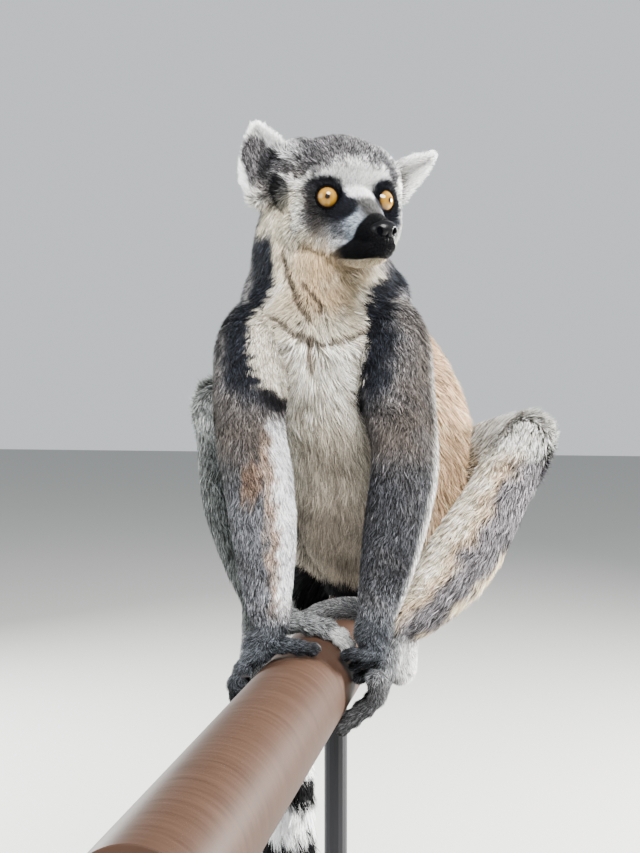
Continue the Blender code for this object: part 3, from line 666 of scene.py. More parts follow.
def paint_arms(lie):
    z = lie.points[:, 2]
    right = lie.part["arm_right"] > lie.part["arm_left"]
    inner = np.where(right, lie.off[:, 0], -lie.off[:, 0])
    low = ease(z, 150, 120)
    p = Paint(len(z), BROWN_GREY, 0.4)
    p.over(low, GREY, 0.55)
    p.over(0.8 * low * ease(z, 48, 62) * np.where(right, 0, 1), (0.12, 0.122, 0.13), 0.9)
    p.over(ease(z, 75, 45) * 0.5, (0.42, 0.425, 0.44), 0.5)
    p.over(0.4 * ease(ripple(lie.points, 17, 13), 0.2, 0.9), (0.23, 0.225, 0.23), 0.6)
    # painted highlight: white along the outer edge of the left arm, for the light from behind
    p.over(ease(lie.off[:, 0], 0.72, 0.95) * np.where(right, 0, 1) * 0.75, (0.93, 0.92, 0.90), 0.2)
    stripe = ease(inner + 0.1 * ripple(lie.points, 9, 16), 0.1, 0.4) * ease(z, 165, 140) * ease(z, 42, 66)
    p.over(stripe * np.where(right, 0.6, 0), (0.58, 0.49, 0.42), 0.35)
    inside = 0.9 * ease(inner + 0.09 * ripple(lie.points, 7, 17), 0.4, 0.7)
    p.over(inside * ease(z, 172, 150) * ease(z, 44, 66) * np.where(right, 1, 0), (0.91, 0.92, 0.94), 0.4)
    spot = oval(lie.points, (-26, -29, 126), (7, 12, 15)) + 0.15 * ripple(lie.points, 6, 14)
    p.over(ease(spot, 1.2, 0.5) * np.where(right, 0.5, 0), (0.40, 0.29, 0.21), 0.4)
    return p


UNDER_CALF = unit(np.array((0.75, -0.1, -0.62)))


def paint_legs(lie, side):
    x, y, z = lie.points.T
    p = Paint(len(x), (0.30, 0.31, 0.305), 0.6)
    if side == "left":
        across = lie.off @ UNDER_CALF
        wob = 0.12 * ripple(lie.points, 15, 18)
        p.over(ease(across + wob, 0.35, -0.1), (0.54, 0.475, 0.40), 0.5)
        p.over(ease(across + wob, -0.05, -0.5), (0.66, 0.62, 0.55), 0.5)
        p.over(0.85 * ease(across + wob, -0.2, 0.3) * ease(z, 146, 128), (0.30, 0.288, 0.30), 0.7)
        p.over(ease(across + 0.5 * wob, 0.68, 0.86) * ease(z, 86, 74), (0.82, 0.75, 0.63), 0.2)
        p.over(ease(z, 130, 148) * ease(across, 0.75, 0.4) * 0.85, (0.74, 0.74, 0.72), 0.45)
        p.over(ease(y, 110, 130), TAN, 0.22)
    else:
        p.over(ease(np.sin(x * 0.6 + y * 0.2), 0.1, 0.9) * 0.4, (0.40, 0.41, 0.405), 0.5)
        # pale grey fur up the right thigh towards the knee, lightened further as painted backlight
        p.over(ease(z, 135, 160) * 0.6, (0.70, 0.71, 0.70), 0.3)
        p.over(ease(y, 100, 125), (0.60, 0.56, 0.52), 0.25)
    return p


def paint_hands(lie):
    p = Paint(len(lie.points), (0.19, 0.20, 0.215), 0.9)
    p.over(ease(lie.share, 0.3, 0.9) * 0.85, (0.12, 0.125, 0.135), 0.9)
    return p


def paint_feet(lie):
    x, y, z = lie.points.T
    p = Paint(len(x), (0.42, 0.425, 0.43), 0.6)
    p.over(0.7 * ease(y, 34, 42) * ease(x, 46, 30) * ease(z, 20, 28), (0.36, 0.36, 0.365), 0.5)
    p.over(0.9 * ease(z, np.where(x > 0, 16, 0), np.where(x > 0, -2, -16)), (0.18, 0.18, 0.185), 0.8)
    p.over(ease(oval(lie.points, (20, 20, 26), (9, 14, 9)), 1.15, 0.7), (0.92, 0.92, 0.91), 0.5)
    p.over(ease(oval(lie.points, (58, 30, 20), (13, 18, 24)), 1.15, 0.8), (0.80, 0.80, 0.79), 0.8)
    return p


def paint_tail(lie):
    ring = (lie.along - 62 + 1.5 * ripple(lie.points, 12, 9)) % 47 / 47
    p = Paint(len(ring), WHITE, 0.08)
    p.over(ease(ring, 0.45, 0.52) * ease(ring, 1.0, 0.95), BLACK, 0.3)
    # painted shadow: the tail near black along its first 100 millimetres, where it passes in the shade under
    # the belly
    p.over(ease(lie.along, 30, 44) * ease(lie.along, 104, 98), (0.06, 0.06, 0.065), 0.3)
    p.over(ease(lie.along, 44, 22), (0.40, 0.36, 0.33), 0.3)
    p.over(ease(lie.along, 512, 526), BLACK, 0.3)
    return p


def paint_ear(lie, name):
    root, length, up, front, across = ear_frame(EARS[name])
    d = lie.head - root
    t = d @ up / length
    s = d @ across / EARS[name][3]
    inside = ease((lie.normals @ HEAD_AXES.T) @ front, -0.05, 0.25)
    p = Paint(len(t), WHITE, 0.08)
    if name == "ear_right":
        inner = np.interp(t, [0, 0.3, 0.8], [-1.0, -0.58, -0.02]) + 0.05 * ripple(lie.points, 4, 15)
        shade = inside * ease(s - inner, -0.1, 0.12) * ease(s, 0.84, 0.68) * ease(t, 0.9, 0.72)
        p.over(shade, (0.25, 0.245, 0.25), 0.8)
        # painted shade: black deep in the ear's hollow near its foot
        deep = oval(np.column_stack([s, t]), (-0.3, 0.12), (0.75, 0.42))
        p.over(shade * ease(deep, 1.15, 0.6), BLACK, 0.4)
    else:
        # painted shade: light grey in the hollow of the left ear towards its foot
        p.over(inside * 0.8 * ease(np.abs(s), 0.8, 0.4) * ease(t, 0.6, 0.1), (0.52, 0.50, 0.47), 0.4)
    p.over(ease(t, 0.02, -0.15) * ease(s, 0.3, 0.6), (0.84, 0.84, 0.83), 0.12)
    return p


def markings(lie):
    """Colour and speck of the coat, each region's mixed by its share."""
    part = lie.part
    arms = part["arm_right"] + part["arm_left"]
    mixed = Paint(len(lie.points), (0, 0, 0), 0)
    for share, p in (
        (part["head"], paint_head(lie)),
        (part["trunk"], paint_trunk(lie)),
        (arms, paint_arms(lie)),
        (part["thigh_right"] + part["shank_right"], paint_legs(lie, "right")),
        (part["thigh_left"] + part["shank_left"], paint_legs(lie, "left")),
        (part["hand"], paint_hands(lie)),
        (part["foot"], paint_feet(lie)),
        (part["tail"], paint_tail(lie)),
        (part["ear_right"], paint_ear(lie, "ear_right")),
        (part["ear_left"], paint_ear(lie, "ear_left")),
    ):
        mixed.colour += p.colour * share[:, None]
        mixed.speck += p.speck * share
    # charcoal down the sides of the neck and the fronts of the shoulders, over trunk and arm alike,
    # with the white chest's fringe over its inner edge
    x, y, z = lie.points.T
    upper = part["trunk"] + arms
    upper += part["head"] * ease(lie.head[:, 2], -30, -38) * ease(lie.head[:, 1], 20, 8)
    out = chest_edge(lie.points)
    soft = 3.0 * ripple(lie.points, 13, 5)
    fringe = 2.2 * ripple(lie.points * (0.25, 0.5, 1.6), 3, 8)
    fringe += 1.8 * ripple(lie.points * (0.3, 0.5, 1.6), 8, 12)
    fade = upper * ease(y, 82, 56) * np.where(x < 0, ease(z, 276, 268), ease(z, 262, 252))
    outside = ease(out, -2, 2)
    mixed.over(0.7 * fade * ease(out + soft, 40, 20) * ease(z, 150, 178) * outside, (0.31, 0.305, 0.31), 0.7)
    mixed.over(fade * ease(out + soft, 25, 12) * ease(z + soft, 162, 184) * outside, CHARCOAL, 0.7)
    chest = ease(out + fringe, 3.6, -2.6) * ease(z, 168, 178) * ease(y, 46, 38) * ease(z, 252, 244)
    mixed.over(chest * (arms + part["trunk"] * ease(out, -6, -2)), (0.74, 0.71, 0.65), 0.3)
    # painted shade: dark in the armpits, where the arms meet the lower corners of the chest
    for line in ([(-23, 0, 175, 1.5), (-18, 0, 170, 0.5)], [(26, 0, 175, 1.0), (29.5, 0, 170.5, 1.0)]):
        armpit_shade = ease(near_line(lie.points * (1, 0, 1), line) + 0.5 * soft, 5.5, 0.5) * ease(y, 40, 30)
        mixed.over(0.9 * armpit_shade * upper, (0.06, 0.06, 0.07), 0.4)
    # painted shade: brown, and darker in the middle, along the creases of throat, collar and chest
    crease = folds(lie.points) * upper
    mixed.over(0.45 * crease, (0.42, 0.36, 0.30), 0.4)
    mixed.over(0.6 * ease(crease, 0.45, 1), (0.17, 0.15, 0.135), 0.4)
    # painted shade: black in the hollow at the foot of the right ear, over ear and head alike
    dark = ease(oval(lie.head, (-38.5, 1, 8), (10.5, 13, 10)) + 0.1 * soft / 3, 1.15, 0.8)
    mixed.over(dark * (part["head"] + part["ear_right"]), BLACK, 0.4)
    mixed.colour *= (1 + 0.05 * ripple(lie.points, 30, 6) + 0.04 * ripple(lie.points, 7, 7))[:, None]
    mixed.colour = np.clip(mixed.colour * (0.88 + 0.12 * mixed.colour), 0.01, 0.96)
    return mixed


def linear(colour):
    """A colour as it is seen, turned into the renderer's linear light."""
    colour = np.clip(colour, 0, 1)
    return np.where(colour <= 0.04045, colour / 12.92, ((colour + 0.055) / 1.055) ** 2.4)


def set_colour(mesh, colour):
    made = mesh.color_attributes.new("coat", "FLOAT_COLOR", "POINT")
    write(made.data, "color", np.column_stack([linear(colour), np.ones(len(colour))]))


def new_material(name, roughness, colour=None):
    """A new material, its node tree and its shader."""
    made = bpy.data.materials.new(name)
    made.use_nodes = True
    shader = made.node_tree.nodes["Principled BSDF"]
    shader.inputs["Roughness"].default_value = roughness
    if colour is not None:
        shader.inputs["Base Color"].default_value = (*colour, 1)
    return made, made.node_tree, shader


def add_node(tree, kind, **inputs):
    node = tree.nodes.new(kind)
    for key, value in inputs.items():
        node.inputs[key.replace("_", " ")].default_value = value
    return node


def join(tree, start, outlet, end, inlet):
    tree.links.new(start.outputs[outlet], end.inputs[inlet])


def add_texture(tree, kind, **inputs):
    """A procedural texture that stays in place on the object."""
    texture = add_node(tree, kind, **inputs)
    join(tree, tree.nodes.new("ShaderNodeTexCoord"), "Object", texture, "Vector")
    return texture


def add_attribute(tree, name):
    node = tree.nodes.new("ShaderNodeAttribute")
    node.attribute_name = name
    return node


def add_dents(tree, shader, texture, outlet, strength, height):
    dents = add_node(tree, "ShaderNodeBump", Strength=strength, Distance=height)
    join(tree, texture, outlet, dents, "Height")
    join(tree, dents, "Normal", shader, "Normal")


def coat_material(name, roughness, grain, shine=0.06, dents=0.0):
    """The coat's colour attribute with a fine grain over it."""
    made, tree, shader = new_material(name, roughness)
    noise = add_texture(tree, "ShaderNodeTexNoise", Scale=grain, Detail=3.0, Roughness=0.6)
    ramp = add_node(tree, "ShaderNodeMapRange", To_Min=0.78, To_Max=1.18)
    join(tree, noise, "Fac", ramp, "Value")
    mix = add_node(tree, "ShaderNodeMix", Factor=1.0)
    mix.data_type = "RGBA"
    mix.blend_type = "MULTIPLY"
    join(tree, add_attribute(tree, "coat"), "Color", mix, "A")
    join(tree, ramp, "Result", mix, "B")
    join(tree, mix, "Result", shader, "Base Color")
    shader.inputs["Specular IOR Level"].default_value = shine
    if dents:
        add_dents(tree, shader, noise, "Fac", 0.5, dents)
    return made


skin_points, skin_normals = spots_of(skin), read(skin.data.vertex_normals, "vector")
lie = Lie(skin_points, skin_normals, ask_strands(skin_points))
under = markings(Lie(skin_points + skin_normals * lie.depth[:, None], skin_normals, lie.say))
for middle, gaze in EYES.values():
    reach = np.linalg.norm(skin_points - middle, axis=1)
    under.over(ease(reach, 12, 10.5) * ease((skin_points - middle) @ gaze, 0, 2), (0.03, 0.03, 0.035), 0.1)
# painted shade: the skin is 0.7 of the coat's colour, for the shade deep between the tufts
set_colour(skin.data, under.colour * 0.7)
skin.data.materials.append(coat_material("skin", 0.9, 900.0, shine=0.0, dents=0.0003))
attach(skin, "root")
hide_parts(*[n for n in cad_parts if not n.startswith(("stand", "eye", "nose"))])

# ---------------------------------------------------------------- Coat
# Real fur: dense short tufts on face, hands and feet, woolly hair on back and limbs, and long
# locks on chest, belly and tail. Each tuft is a thin blade of one to three triangles rooted in the
# skin, whose tip ends about at the outside of the solids; many are joined into one mesh.


def blend(lie, fallback, **values):
    """One number per region, by its full name or its first word, mixed by the regions' shares."""
    total = 0
    for name in REGIONS:
        total += lie.part[name] * values.get(name, values.get(name.split("_")[0], fallback))
    return total


def groom(lie):
    """Way, length, width, number per square millimetre of the tufts at each point."""
    h = lie.head
    aside, ahead, above = np.abs(h[:, 0]), h[:, 1], h[:, 2]
    x, z = lie.points[:, 0], lie.points[:, 2]
    head, trunk, arms = lie.part["head"], lie.part["trunk"], lie.part["arm_right"] + lie.part["arm_left"]
    way = lie.way.copy()
    back = np.column_stack([h[:, 0] * 0.9, ahead - 76, above + 12])
    back[:, 2] = np.where(above < -6, back[:, 2] - 26 * ease(ahead, 46, 10), back[:, 2])
    way += (unit(back) @ HEAD_AXES - way) * head[:, None]
    # the chest's hair parts down the middle and runs outwards above, downwards below
    chest = trunk * ease(-lie.off[:, 1], 0.1, 0.5) * ease(z, 168, 196) * ease(z, 262, 240)
    middle = np.interp(z, [168, 235], [6, 4])
    way[:, 0] += chest * np.clip((x - middle) / 14, -1.1, 1.1)
    # long hair on the under side of the left calf hangs
    calf = lie.part["shank_left"] * ease(lie.off @ UNDER_CALF, 0.5, 0.9)
    way[:, 2] -= calf * 0.9
    way = unit(way)

    front = ease(-lie.off[:, 1], 0.0, 0.5)
    length = blend(
        lie, 9, trunk=19, tail=25, thigh=15, shank=10, shank_left=11, hand=3.2, foot=3.8, arm=8.5, ear=4.6
    )
    length += trunk * (-4 * ease(z, 180, 205) - 5.5 * ease(z, 205, 228) + 4 * front * ease(z, 190, 150))
    length -= 3.2 * ease(z, 130, 50) * arms
    length += calf * 9
    face = np.interp(ahead, [-20, 10, 26, 36, 50, 62], [7.5, 6, 4.4, 3.3, 2.2, 1.5])
    face += 3.2 * ease(above, -33.5, -36) * ease(ahead, 68, 52)
    face += 5 * ease(aside, 28, 40) * ease(above, 10, -4)
    from_eye = oval(np.column_stack([aside, np.abs(ahead), above]), (17.3, 31, 3), (1, 1, 1))
    face = np.minimum(face, 1.3 + 0.4 * np.maximum(0, from_eye - 7.5))
    length = length * (1 - head) + face * head
    width = blend(lie, 0.52, trunk=0.5, tail=0.72, hand=0.36, foot=0.38, ear=0.36, arm=0.43)
    width -= 0.12 * trunk * ease(z, 205, 228)
    width = width * (1 - head) + head * np.interp(ahead, [-20, 10, 30, 50], [0.5, 0.45, 0.32, 0.28])
    count = blend(
        lie, 2, trunk=2.5, tail=2.3, hand=7, foot=6, ear=6.5, arm=3.8,
        shank=2.6, shank_left=3.0, thigh=1.7, thigh_left=2.0,
    )
    count += trunk * front * 1.2
    count = count * (1 - head) + head * np.interp(ahead, [-20, 10, 30, 50, 62], [4, 7, 12, 12, 9])
    return way, length, width, count


def sample_roots(mesh, lie, scale=1.0):
    """How the coat lies at roots spread over the faces by area and by groom()'s count."""
    mesh.calc_loop_triangles()
    faces = np.empty(len(mesh.loop_triangles) * 3, np.int32)
    mesh.loop_triangles.foreach_get("vertices", faces)
    faces = faces.reshape(-1, 3)
    corners = lie.points[faces]
    area = np.linalg.norm(np.cross(corners[:, 1] - corners[:, 0], corners[:, 2] - corners[:, 0]), axis=1) / 2
    count = groom(lie)[3][faces].mean(1) * scale * area
    number = np.floor(count + rng.random(len(count))).astype(int)
    owner = np.repeat(np.arange(len(faces)), number)
    a, b = rng.random(len(owner)), rng.random(len(owner))
    flip = a + b > 1
    a[flip], b[flip] = 1 - a[flip], 1 - b[flip]
    weights = np.column_stack([1 - a - b, a, b])
    corner = faces[owner]
    whole = (lie.points, lie.normals, lie.say)
    points, normals, say = ((v[corner] * weights[:, :, None]).sum(1) for v in whole)
    return Lie(points, unit(normals), say)


def off_the_eyes(points):
    """Whether each point is clear of the open eyes."""
    keep = np.ones(len(points), bool)
    for middle, gaze in EYES.values():
        d = points - middle
        r = np.linalg.norm(d, axis=1)
        keep &= ~((r < 11.5) & (d @ gaze > r * math.cos(EYE_OPEN + 0.09)))
    return keep


def mesh_of(name, points, faces, colour, uv):
    mesh = bpy.data.meshes.new(name)
    mesh.vertices.add(len(points))
    write(mesh.vertices, "co", to_row(points))
    mesh.loops.add(faces.size)
    mesh.loops.foreach_set("vertex_index", faces.astype(np.int32).ravel())
    mesh.polygons.add(len(faces))
    mesh.polygons.foreach_set("loop_start", np.arange(0, faces.size, 3, dtype=np.int32))
    write(mesh.uv_layers.new(name="OFBake").data, "uv", uv[faces.ravel()])
    set_colour(mesh, colour)
    mesh.update(calc_edges=True)
    mesh.validate()
    made = bpy.data.objects.new(name, mesh)
    bpy.context.scene.collection.objects.link(made)
    return made


def unwrap(lie, on_head):
    """A place from 0 to 1 each way for each point: round and along the strands, or round the head."""
    if on_head:
        h = lie.head - (0, 8, 0)
        turn = np.arctan2(h[:, 0], h[:, 1]) / math.tau + 0.5
        rise = np.arctan2(h[:, 2], np.hypot(h[:, 0], h[:, 1])) / math.pi + 0.5
        return np.column_stack([turn, rise])
    across = np.array((1.0, 0, 0)) - lie.way * lie.way[:, :1]
    across = unit(across)
    up = np.cross(lie.way, across)
    angle = np.arctan2((lie.off * up).sum(1), (lie.off * across).sum(1)) / math.tau + 0.5
    return np.column_stack([angle, np.clip(lie.share, 0, 1)])


def gather(tips, roots, share, spacing, size):
    """Draws the tips of neighbouring tufts together into locks."""
    count = max(1, int(len(roots) / spacing))
    seeds = rng.choice(len(roots), count, replace=False)
    tree = KDTree(count)
    for k, seed in enumerate(seeds):
        tree.insert(roots[seed], k)
    tree.balance()
    owner = np.array([seeds[tree.find(p)[1]] for p in roots.tolist()])
    pull = tips[owner] + (roots - roots[owner]) * 0.35
    far = np.linalg.norm(roots - roots[owner], axis=1)
    strength = share * ease(far, size * 2, size * 0.4)
    return tips + (pull - tips) * strength[:, None]


LARGEST_PIECE = 190000


def grow(name, lie, triangles, material, lock=0.0):
    """A blade at each root of lie, cut into pieces small enough to hand over."""
    n = len(lie.points)
    on_head = name in ("coat_face", "coat_head", "coat_ears")
    # from root to tip: along the lie of the hair and up to its depth, each tuft a little astray
    way, length, width = groom(lie)[:3]
    normal, root = lie.normals, lie.points
    depth = np.minimum(lie.depth * np.clip(rng.normal(0.9, 0.13, n), 0.55, 1.12), length * 0.92)
    depth *= 1 - 0.5 * folds(root)
    length = length * np.clip(rng.normal(1.0, 0.16, n), 0.55, 1.4)
    flow = unit(way - normal * (way * normal).sum(1, keepdims=True))
    turn = rng.normal(0, 0.17, n) + 0.22 * ripple(root, 16, 21) + 0.12 * ripple(root, 6, 22)
    cross = np.cross(normal, flow)
    flow = flow * np.cos(turn)[:, None] + cross * np.sin(turn)[:, None]
    cross = np.cross(normal, flow)
    roll = rng.normal(0, 0.4, n)
    side = cross * np.cos(roll)[:, None] + normal * np.sin(roll)[:, None]
    reach = np.sqrt(np.maximum(length**2 - depth**2, (0.3 * length) ** 2))
    bend = cross * (reach * rng.normal(0, 0.07, n))[:, None]
    tip = root + flow * reach[:, None] + normal * depth[:, None] + bend
    middle = root + flow * (reach * 0.45)[:, None] + normal * (depth * 0.68)[:, None]
    if lock:
        drawn = gather(tip, root, lock, spacing=24, size=7.0)
        middle += (drawn - tip) * 0.4
        tip = drawn
    half = side * (width / 2)[:, None]
    foot = root - normal * 0.35

    # its tone: the markings where it is seen, lighter or darker from tuft to tuft
    seen = Lie(root * 0.45 + tip * 0.55, normal, lie.say)
    p = markings(seen)
    dark, pale = np.minimum(0.9, 1.25 * p.speck + 0.05), 1.6 * p.speck
    light = np.where(rng.random(n) < 0.5, 1 - dark * rng.random(n), 1 + pale * rng.random(n))
    # and in fine streaks along the lie of the hair
    if on_head:
        spread = lie.head - (0, 76, -12)
        streaks = unit(spread) * 100 + 0.5 * spread
    else:
        streaks = root - 0.75 * flow * (root * flow).sum(1, keepdims=True)
    light = light * (1 + (0.08 + 0.3 * p.speck) * ripple(streaks, 2.0, 31))
    tone = np.clip(p.colour * light[:, None], 0.01, 0.97)
    # painted shade: each tuft is darker at its root, deep in the coat; the tip is a little lighter
    tones = [tone * 0.6, tone * 0.92, tone * 0.92, np.clip(tone * 1.1, 0, 0.97)]
    # its corners, their tones and places in its patch of the map, and its triangles
    patch = unwrap(lie, on_head) * 0.99
    patch_size = 0.003
    if triangles == 2:
        corners = [foot, middle - half, middle + half, tip]
        layout = np.array(((0, 1, 2), (1, 3, 2)))
        spots = [(0.5, 0), (0, 0.5), (1, 0.5), (0.5, 1)]
    elif triangles == 1:
        corners = [foot - half, foot + half, tip]
        layout = np.array(((0, 2, 1),))
        # painted shade at the root here too
        tones = [tone * 0.6, tone * 0.6, tone]
        spots = [(0, 0), (1, 0), (0.5, 1)]
    else:
        corners = [foot - half * 0.8, foot + half * 0.8, middle - half, middle + half, tip]
        layout = np.array(((0, 2, 3), (0, 3, 1), (2, 4, 3)))
        tones = [tones[0], *tones]
        spots = [(0, 0), (1, 0), (0, 0.5), (1, 0.5), (0.5, 1)]
    parts = max(1, math.ceil(n * triangles / LARGEST_PIECE))
    order = rng.permutation(n) if parts == 1 else np.argsort(root[:, 2] + 0.3 * root[:, 0])
    for number, chunk in enumerate(np.array_split(order, parts), start=1):
        points = np.stack([c[chunk] for c in corners], 1).reshape(-1, 3)
        colour = np.stack([c[chunk] for c in tones], 1).reshape(-1, 3)
        uv = np.stack([patch[chunk] + np.array(s) * patch_size for s in spots], 1).reshape(-1, 2)
        faces = (layout[None] + (np.arange(len(chunk)) * len(corners))[:, None, None]).reshape(-1, 3)
        piece = mesh_of(name if parts == 1 else f"{name}_{number}", points, faces, colour, uv)
        piece.data.materials.append(material)
        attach(piece, "root")


lie = sample_roots(skin.data, lie, 1.0)
off_the_nose = oval(lie.head, (1, 62, -18.8), (8.4, 8.5, 5.6)) > 1
lie = lie.only(off_the_eyes(lie.points) & off_the_nose)
main = np.argmax(np.column_stack([lie.part[name] for name in REGIONS]), axis=1)


def some(*names):
    """The part of lie whose chief region is one of the names."""
    return np.isin(main, [REGIONS.index(n) for n in names])


short = coat_material("short_coat", 0.72, 1400.0)
woolly = coat_material("woolly_coat", 0.8, 900.0)
long = coat_material("long_coat", 0.78, 700.0)
face = some("head") & ((lie.head[:, 1] > 30) | ((lie.head[:, 1] > 24) & (lie.head[:, 2] < 20)))
grow("coat_face", lie.only(face), 1, short)
grow("coat_head", lie.only(some("head") & ~face), 2, short)
grow("coat_ears", lie.only(some("ear_right", "ear_left")), 2, short)
grow("coat_trunk", lie.only(some("trunk")), 2, long, lock=0.25)
grow("coat_arm_right", lie.only(some("arm_right")), 2, woolly)
grow("coat_arm_left", lie.only(some("arm_left")), 2, woolly)
grow("coat_leg_right", lie.only(some("thigh_right", "shank_right")), 2, woolly, lock=0.25)
grow("coat_leg_left", lie.only(some("thigh_left", "shank_left")), 2, woolly, lock=0.25)
grow("coat_hands", lie.only(some("hand")), 1, short)
grow("coat_feet", lie.only(some("foot")), 1, short)
grow("coat_tail", lie.only(some("tail")), 3, long, lock=0.5)

# ---------------------------------------------------------------- Eyes
# Glass eyes, wet amber with a dark rim and a small dark pupil under a clear bulging front: each is a
# fine ball with a raised cornea, whose colour runs by the distance from the line of sight.


def eye_piece(name):
    middle, gaze = EYES[name]
    form = bmesh.new()
    bmesh.ops.create_uvsphere(form, u_segments=72, v_segments=72, radius=1.0)
    turn = np.array(Vector((0, 0, 1)).rotation_difference(Vector(gaze)).to_matrix())
    made = new_object(name + "_ball", form)
    sphere = unit(read(made.data.vertices, "co"))
    theta = np.arccos(np.clip(sphere[:, 2], -1, 1))
    rise = 0.75 * ease(theta, 0.95, 0.1)
    points = middle + (sphere * (EYE_RADIUS - 0.05 + rise)[:, None]) @ turn.T
    move_spots(made, points)
    made.data.shade_smooth()
    write(made.data.attributes.new("from_sight", "FLOAT", "POINT").data, "value", theta)
    spokes = made.data.attributes.new("round_sight", "FLOAT_VECTOR", "POINT")
    write(spokes.data, "vector", np.column_stack([unit(sphere[:, :2]), theta * 0.15]))
    made.data.update()
    return made


glass, tree, shader = new_material("eye", 0.5)
rays = add_node(tree, "ShaderNodeTexNoise", Scale=9.0, Detail=3.0)
join(tree, add_attribute(tree, "round_sight"), "Vector", rays, "Vector")
spread = tree.nodes.new("ShaderNodeMath")
spread.operation = "MULTIPLY_ADD"
spread.inputs[1].default_value = 0.12
join(tree, rays, "Fac", spread, 0)
join(tree, add_attribute(tree, "from_sight"), "Fac", spread, 2)
ramp = tree.nodes.new("ShaderNodeValToRGB")
join(tree, spread, "Value", ramp, "Fac")
stops = [
    (0.0, (0.004, 0.003, 0.003)),
    (0.205, (0.006, 0.004, 0.003)),
    (0.24, (0.11, 0.048, 0.005)),
    (0.32, (0.16, 0.078, 0.008)),
    (0.50, (0.22, 0.115, 0.012)),
    (0.70, (0.14, 0.068, 0.006)),
    (0.82, (0.035, 0.016, 0.003)),
    (0.88, (0.012, 0.008, 0.006)),
]
while len(ramp.color_ramp.elements) < len(stops):
    ramp.color_ramp.elements.new(0.5)
for element, (place, colour) in zip(ramp.color_ramp.elements, stops):
    element.position = place
    element.color = (*colour, 1)
join(tree, ramp, "Color", shader, "Base Color")
shader.inputs["Specular IOR Level"].default_value = 0.0
shader.inputs["Coat Weight"].default_value = 0.9
shader.inputs["Coat Roughness"].default_value = 0.02
for name in EYES:
    ball = eye_piece(name)
    ball.data.materials.append(glass)
    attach(ball, "root")
    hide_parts(name)

# ---------------------------------------------------------------- Nails
# Small dark nails of horn on the ends of fingers and toes. Each is a short flat tube that tapers to
# its tip and stands on the outer side of the digit's end; all of them are one mesh.

form = bmesh.new()
for region, stations, depths in STRANDS:
    if region in ("hand", "foot") and depths[1] < 1:
        before, end = (np.array(row[:3], float) for row in stations[-2:])
        size = stations[-1][3]
        way = unit(end - before)
        out = unit(end * (1, 0, 1))
        out = unit(out - way * out.dot(way))
        rows = [(-0.2, 0.62, 0.36), (0.5, 0.6, 0.4), (1.05, 0.34, 0.3), (1.3, 0.05, 0.12)]
        plate = [(*(end + (way * a + out * b) * size), c * size) for a, b, c in rows]
        add_tube(form, plate, (0, 0), steps=3, sides=12)
nails = new_object("nails", form)
nails.data.shade_smooth()
horn, tree, shader = new_material("nail", 0.6, (0.012, 0.011, 0.011))
shader.inputs["IOR"].default_value = 1.2
grain = add_texture(tree, "ShaderNodeTexNoise", Scale=600.0, Detail=2.0)
add_dents(tree, shader, grain, "Fac", 0.2, 0.0002)
nails.data.materials.append(horn)
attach(nails, "root")

# ---------------------------------------------------------------- Nose
# The moist bare nose pad: two fused balls with a comma-shaped nostril pressed in each side and a
# groove down the middle to the lip.

form = bmesh.new()
add_ball(form, from_head((1, 63.5, -18.5)), (8.5, 6.6, 5.8), HEAD_AXES)
add_ball(form, from_head((0.8, 63.9, -23.6)), (3.0, 4.4, 4.8), HEAD_AXES)
nose = fuse(new_object("nose_pad", form), voxel=0.33, passes=6)
spots = to_head(spots_of(nose))
across = spots[:, 0] - 0.9
a = np.abs(across)
front = ease(spots[:, 1], 63, 66)
hole = np.hypot((a - 4.6 - 0.25 * (spots[:, 2] + 19.6)) / 1.5, (spots[:, 2] + 19.6) / 2.1)
slit = near_line(
    np.column_stack([a, spots[:, 1], spots[:, 2]]),
    [(5, 70, -20.6, 0.7), (7.4, 67.5, -21.6, 0.5), (8.8, 64, -21.4, 0.2)],
)
inward = np.column_stack([-np.sign(across) * 0.35, -np.ones(len(a)), np.zeros(len(a))])
spots += inward * (4.0 * ease(hole, 1.2, 0.4) * front + 1.5 * ease(slit, 1.1, 0.1))[:, None]
spots[:, 1] -= bump(a, 0, 0.6) * ease(spots[:, 2], -19, -22.5) * front
spots[:, 1] += 0.15 * bump(hole, 1.45, 0.3) * front
move_spots(nose, from_head(spots))
nose.data.shade_smooth()
wet_skin, tree, shader = new_material("nose", 0.3, (0.0015, 0.0015, 0.002))
shader.inputs["IOR"].default_value = 1.24
pebble = add_texture(tree, "ShaderNodeTexVoronoi", Scale=2200.0)
add_dents(tree, shader, pebble, "Distance", 0.15, 0.0002)
nose.data.materials.append(wet_skin)
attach(nose, "root")
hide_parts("nose")

# ---------------------------------------------------------------- Rail
# A thick round steel handrail in dark brown paint, blotched by weather and faintly scratched round:
# a fine cylinder on the rail's own box, with its end edges just broken.

low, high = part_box("stand_rail")
radius, length = (high.x - low.x) / 2, high.y - low.y
form = bmesh.new()
bmesh.ops.create_cone(form, cap_ends=True, segments=128, radius1=radius, radius2=radius, depth=length)
caps = [e for e in form.edges if abs(abs(e.verts[0].co.z) + abs(e.verts[1].co.z) - length) < 1e-6]
broken_edge = 0.0008
bmesh.ops.bevel(form, geom=caps, offset=broken_edge, segments=3, profile=0.5, affect="EDGES")
bmesh.ops.rotate(form, verts=form.verts, matrix=Matrix.Rotation(math.radians(90), 3, "X"))
bmesh.ops.translate(form, verts=form.verts, vec=(low + high) / 2)
rail = new_object("rail", form)
rail.data.shade_smooth()
rail.data.set_sharp_from_angle(angle=math.radians(50))
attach(rail, "root")
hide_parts("stand_rail")
brown_paint, tree, shader = new_material("rail_paint", 0.6)
shader.inputs["IOR"].default_value = 1.12
stretch = add_texture(tree, "ShaderNodeMapping", Scale=(1.0, 12.0, 1.0))
scuff = add_node(tree, "ShaderNodeTexNoise", Scale=22.0, Detail=6.0, Roughness=0.62)
join(tree, stretch, "Vector", scuff, "Vector")
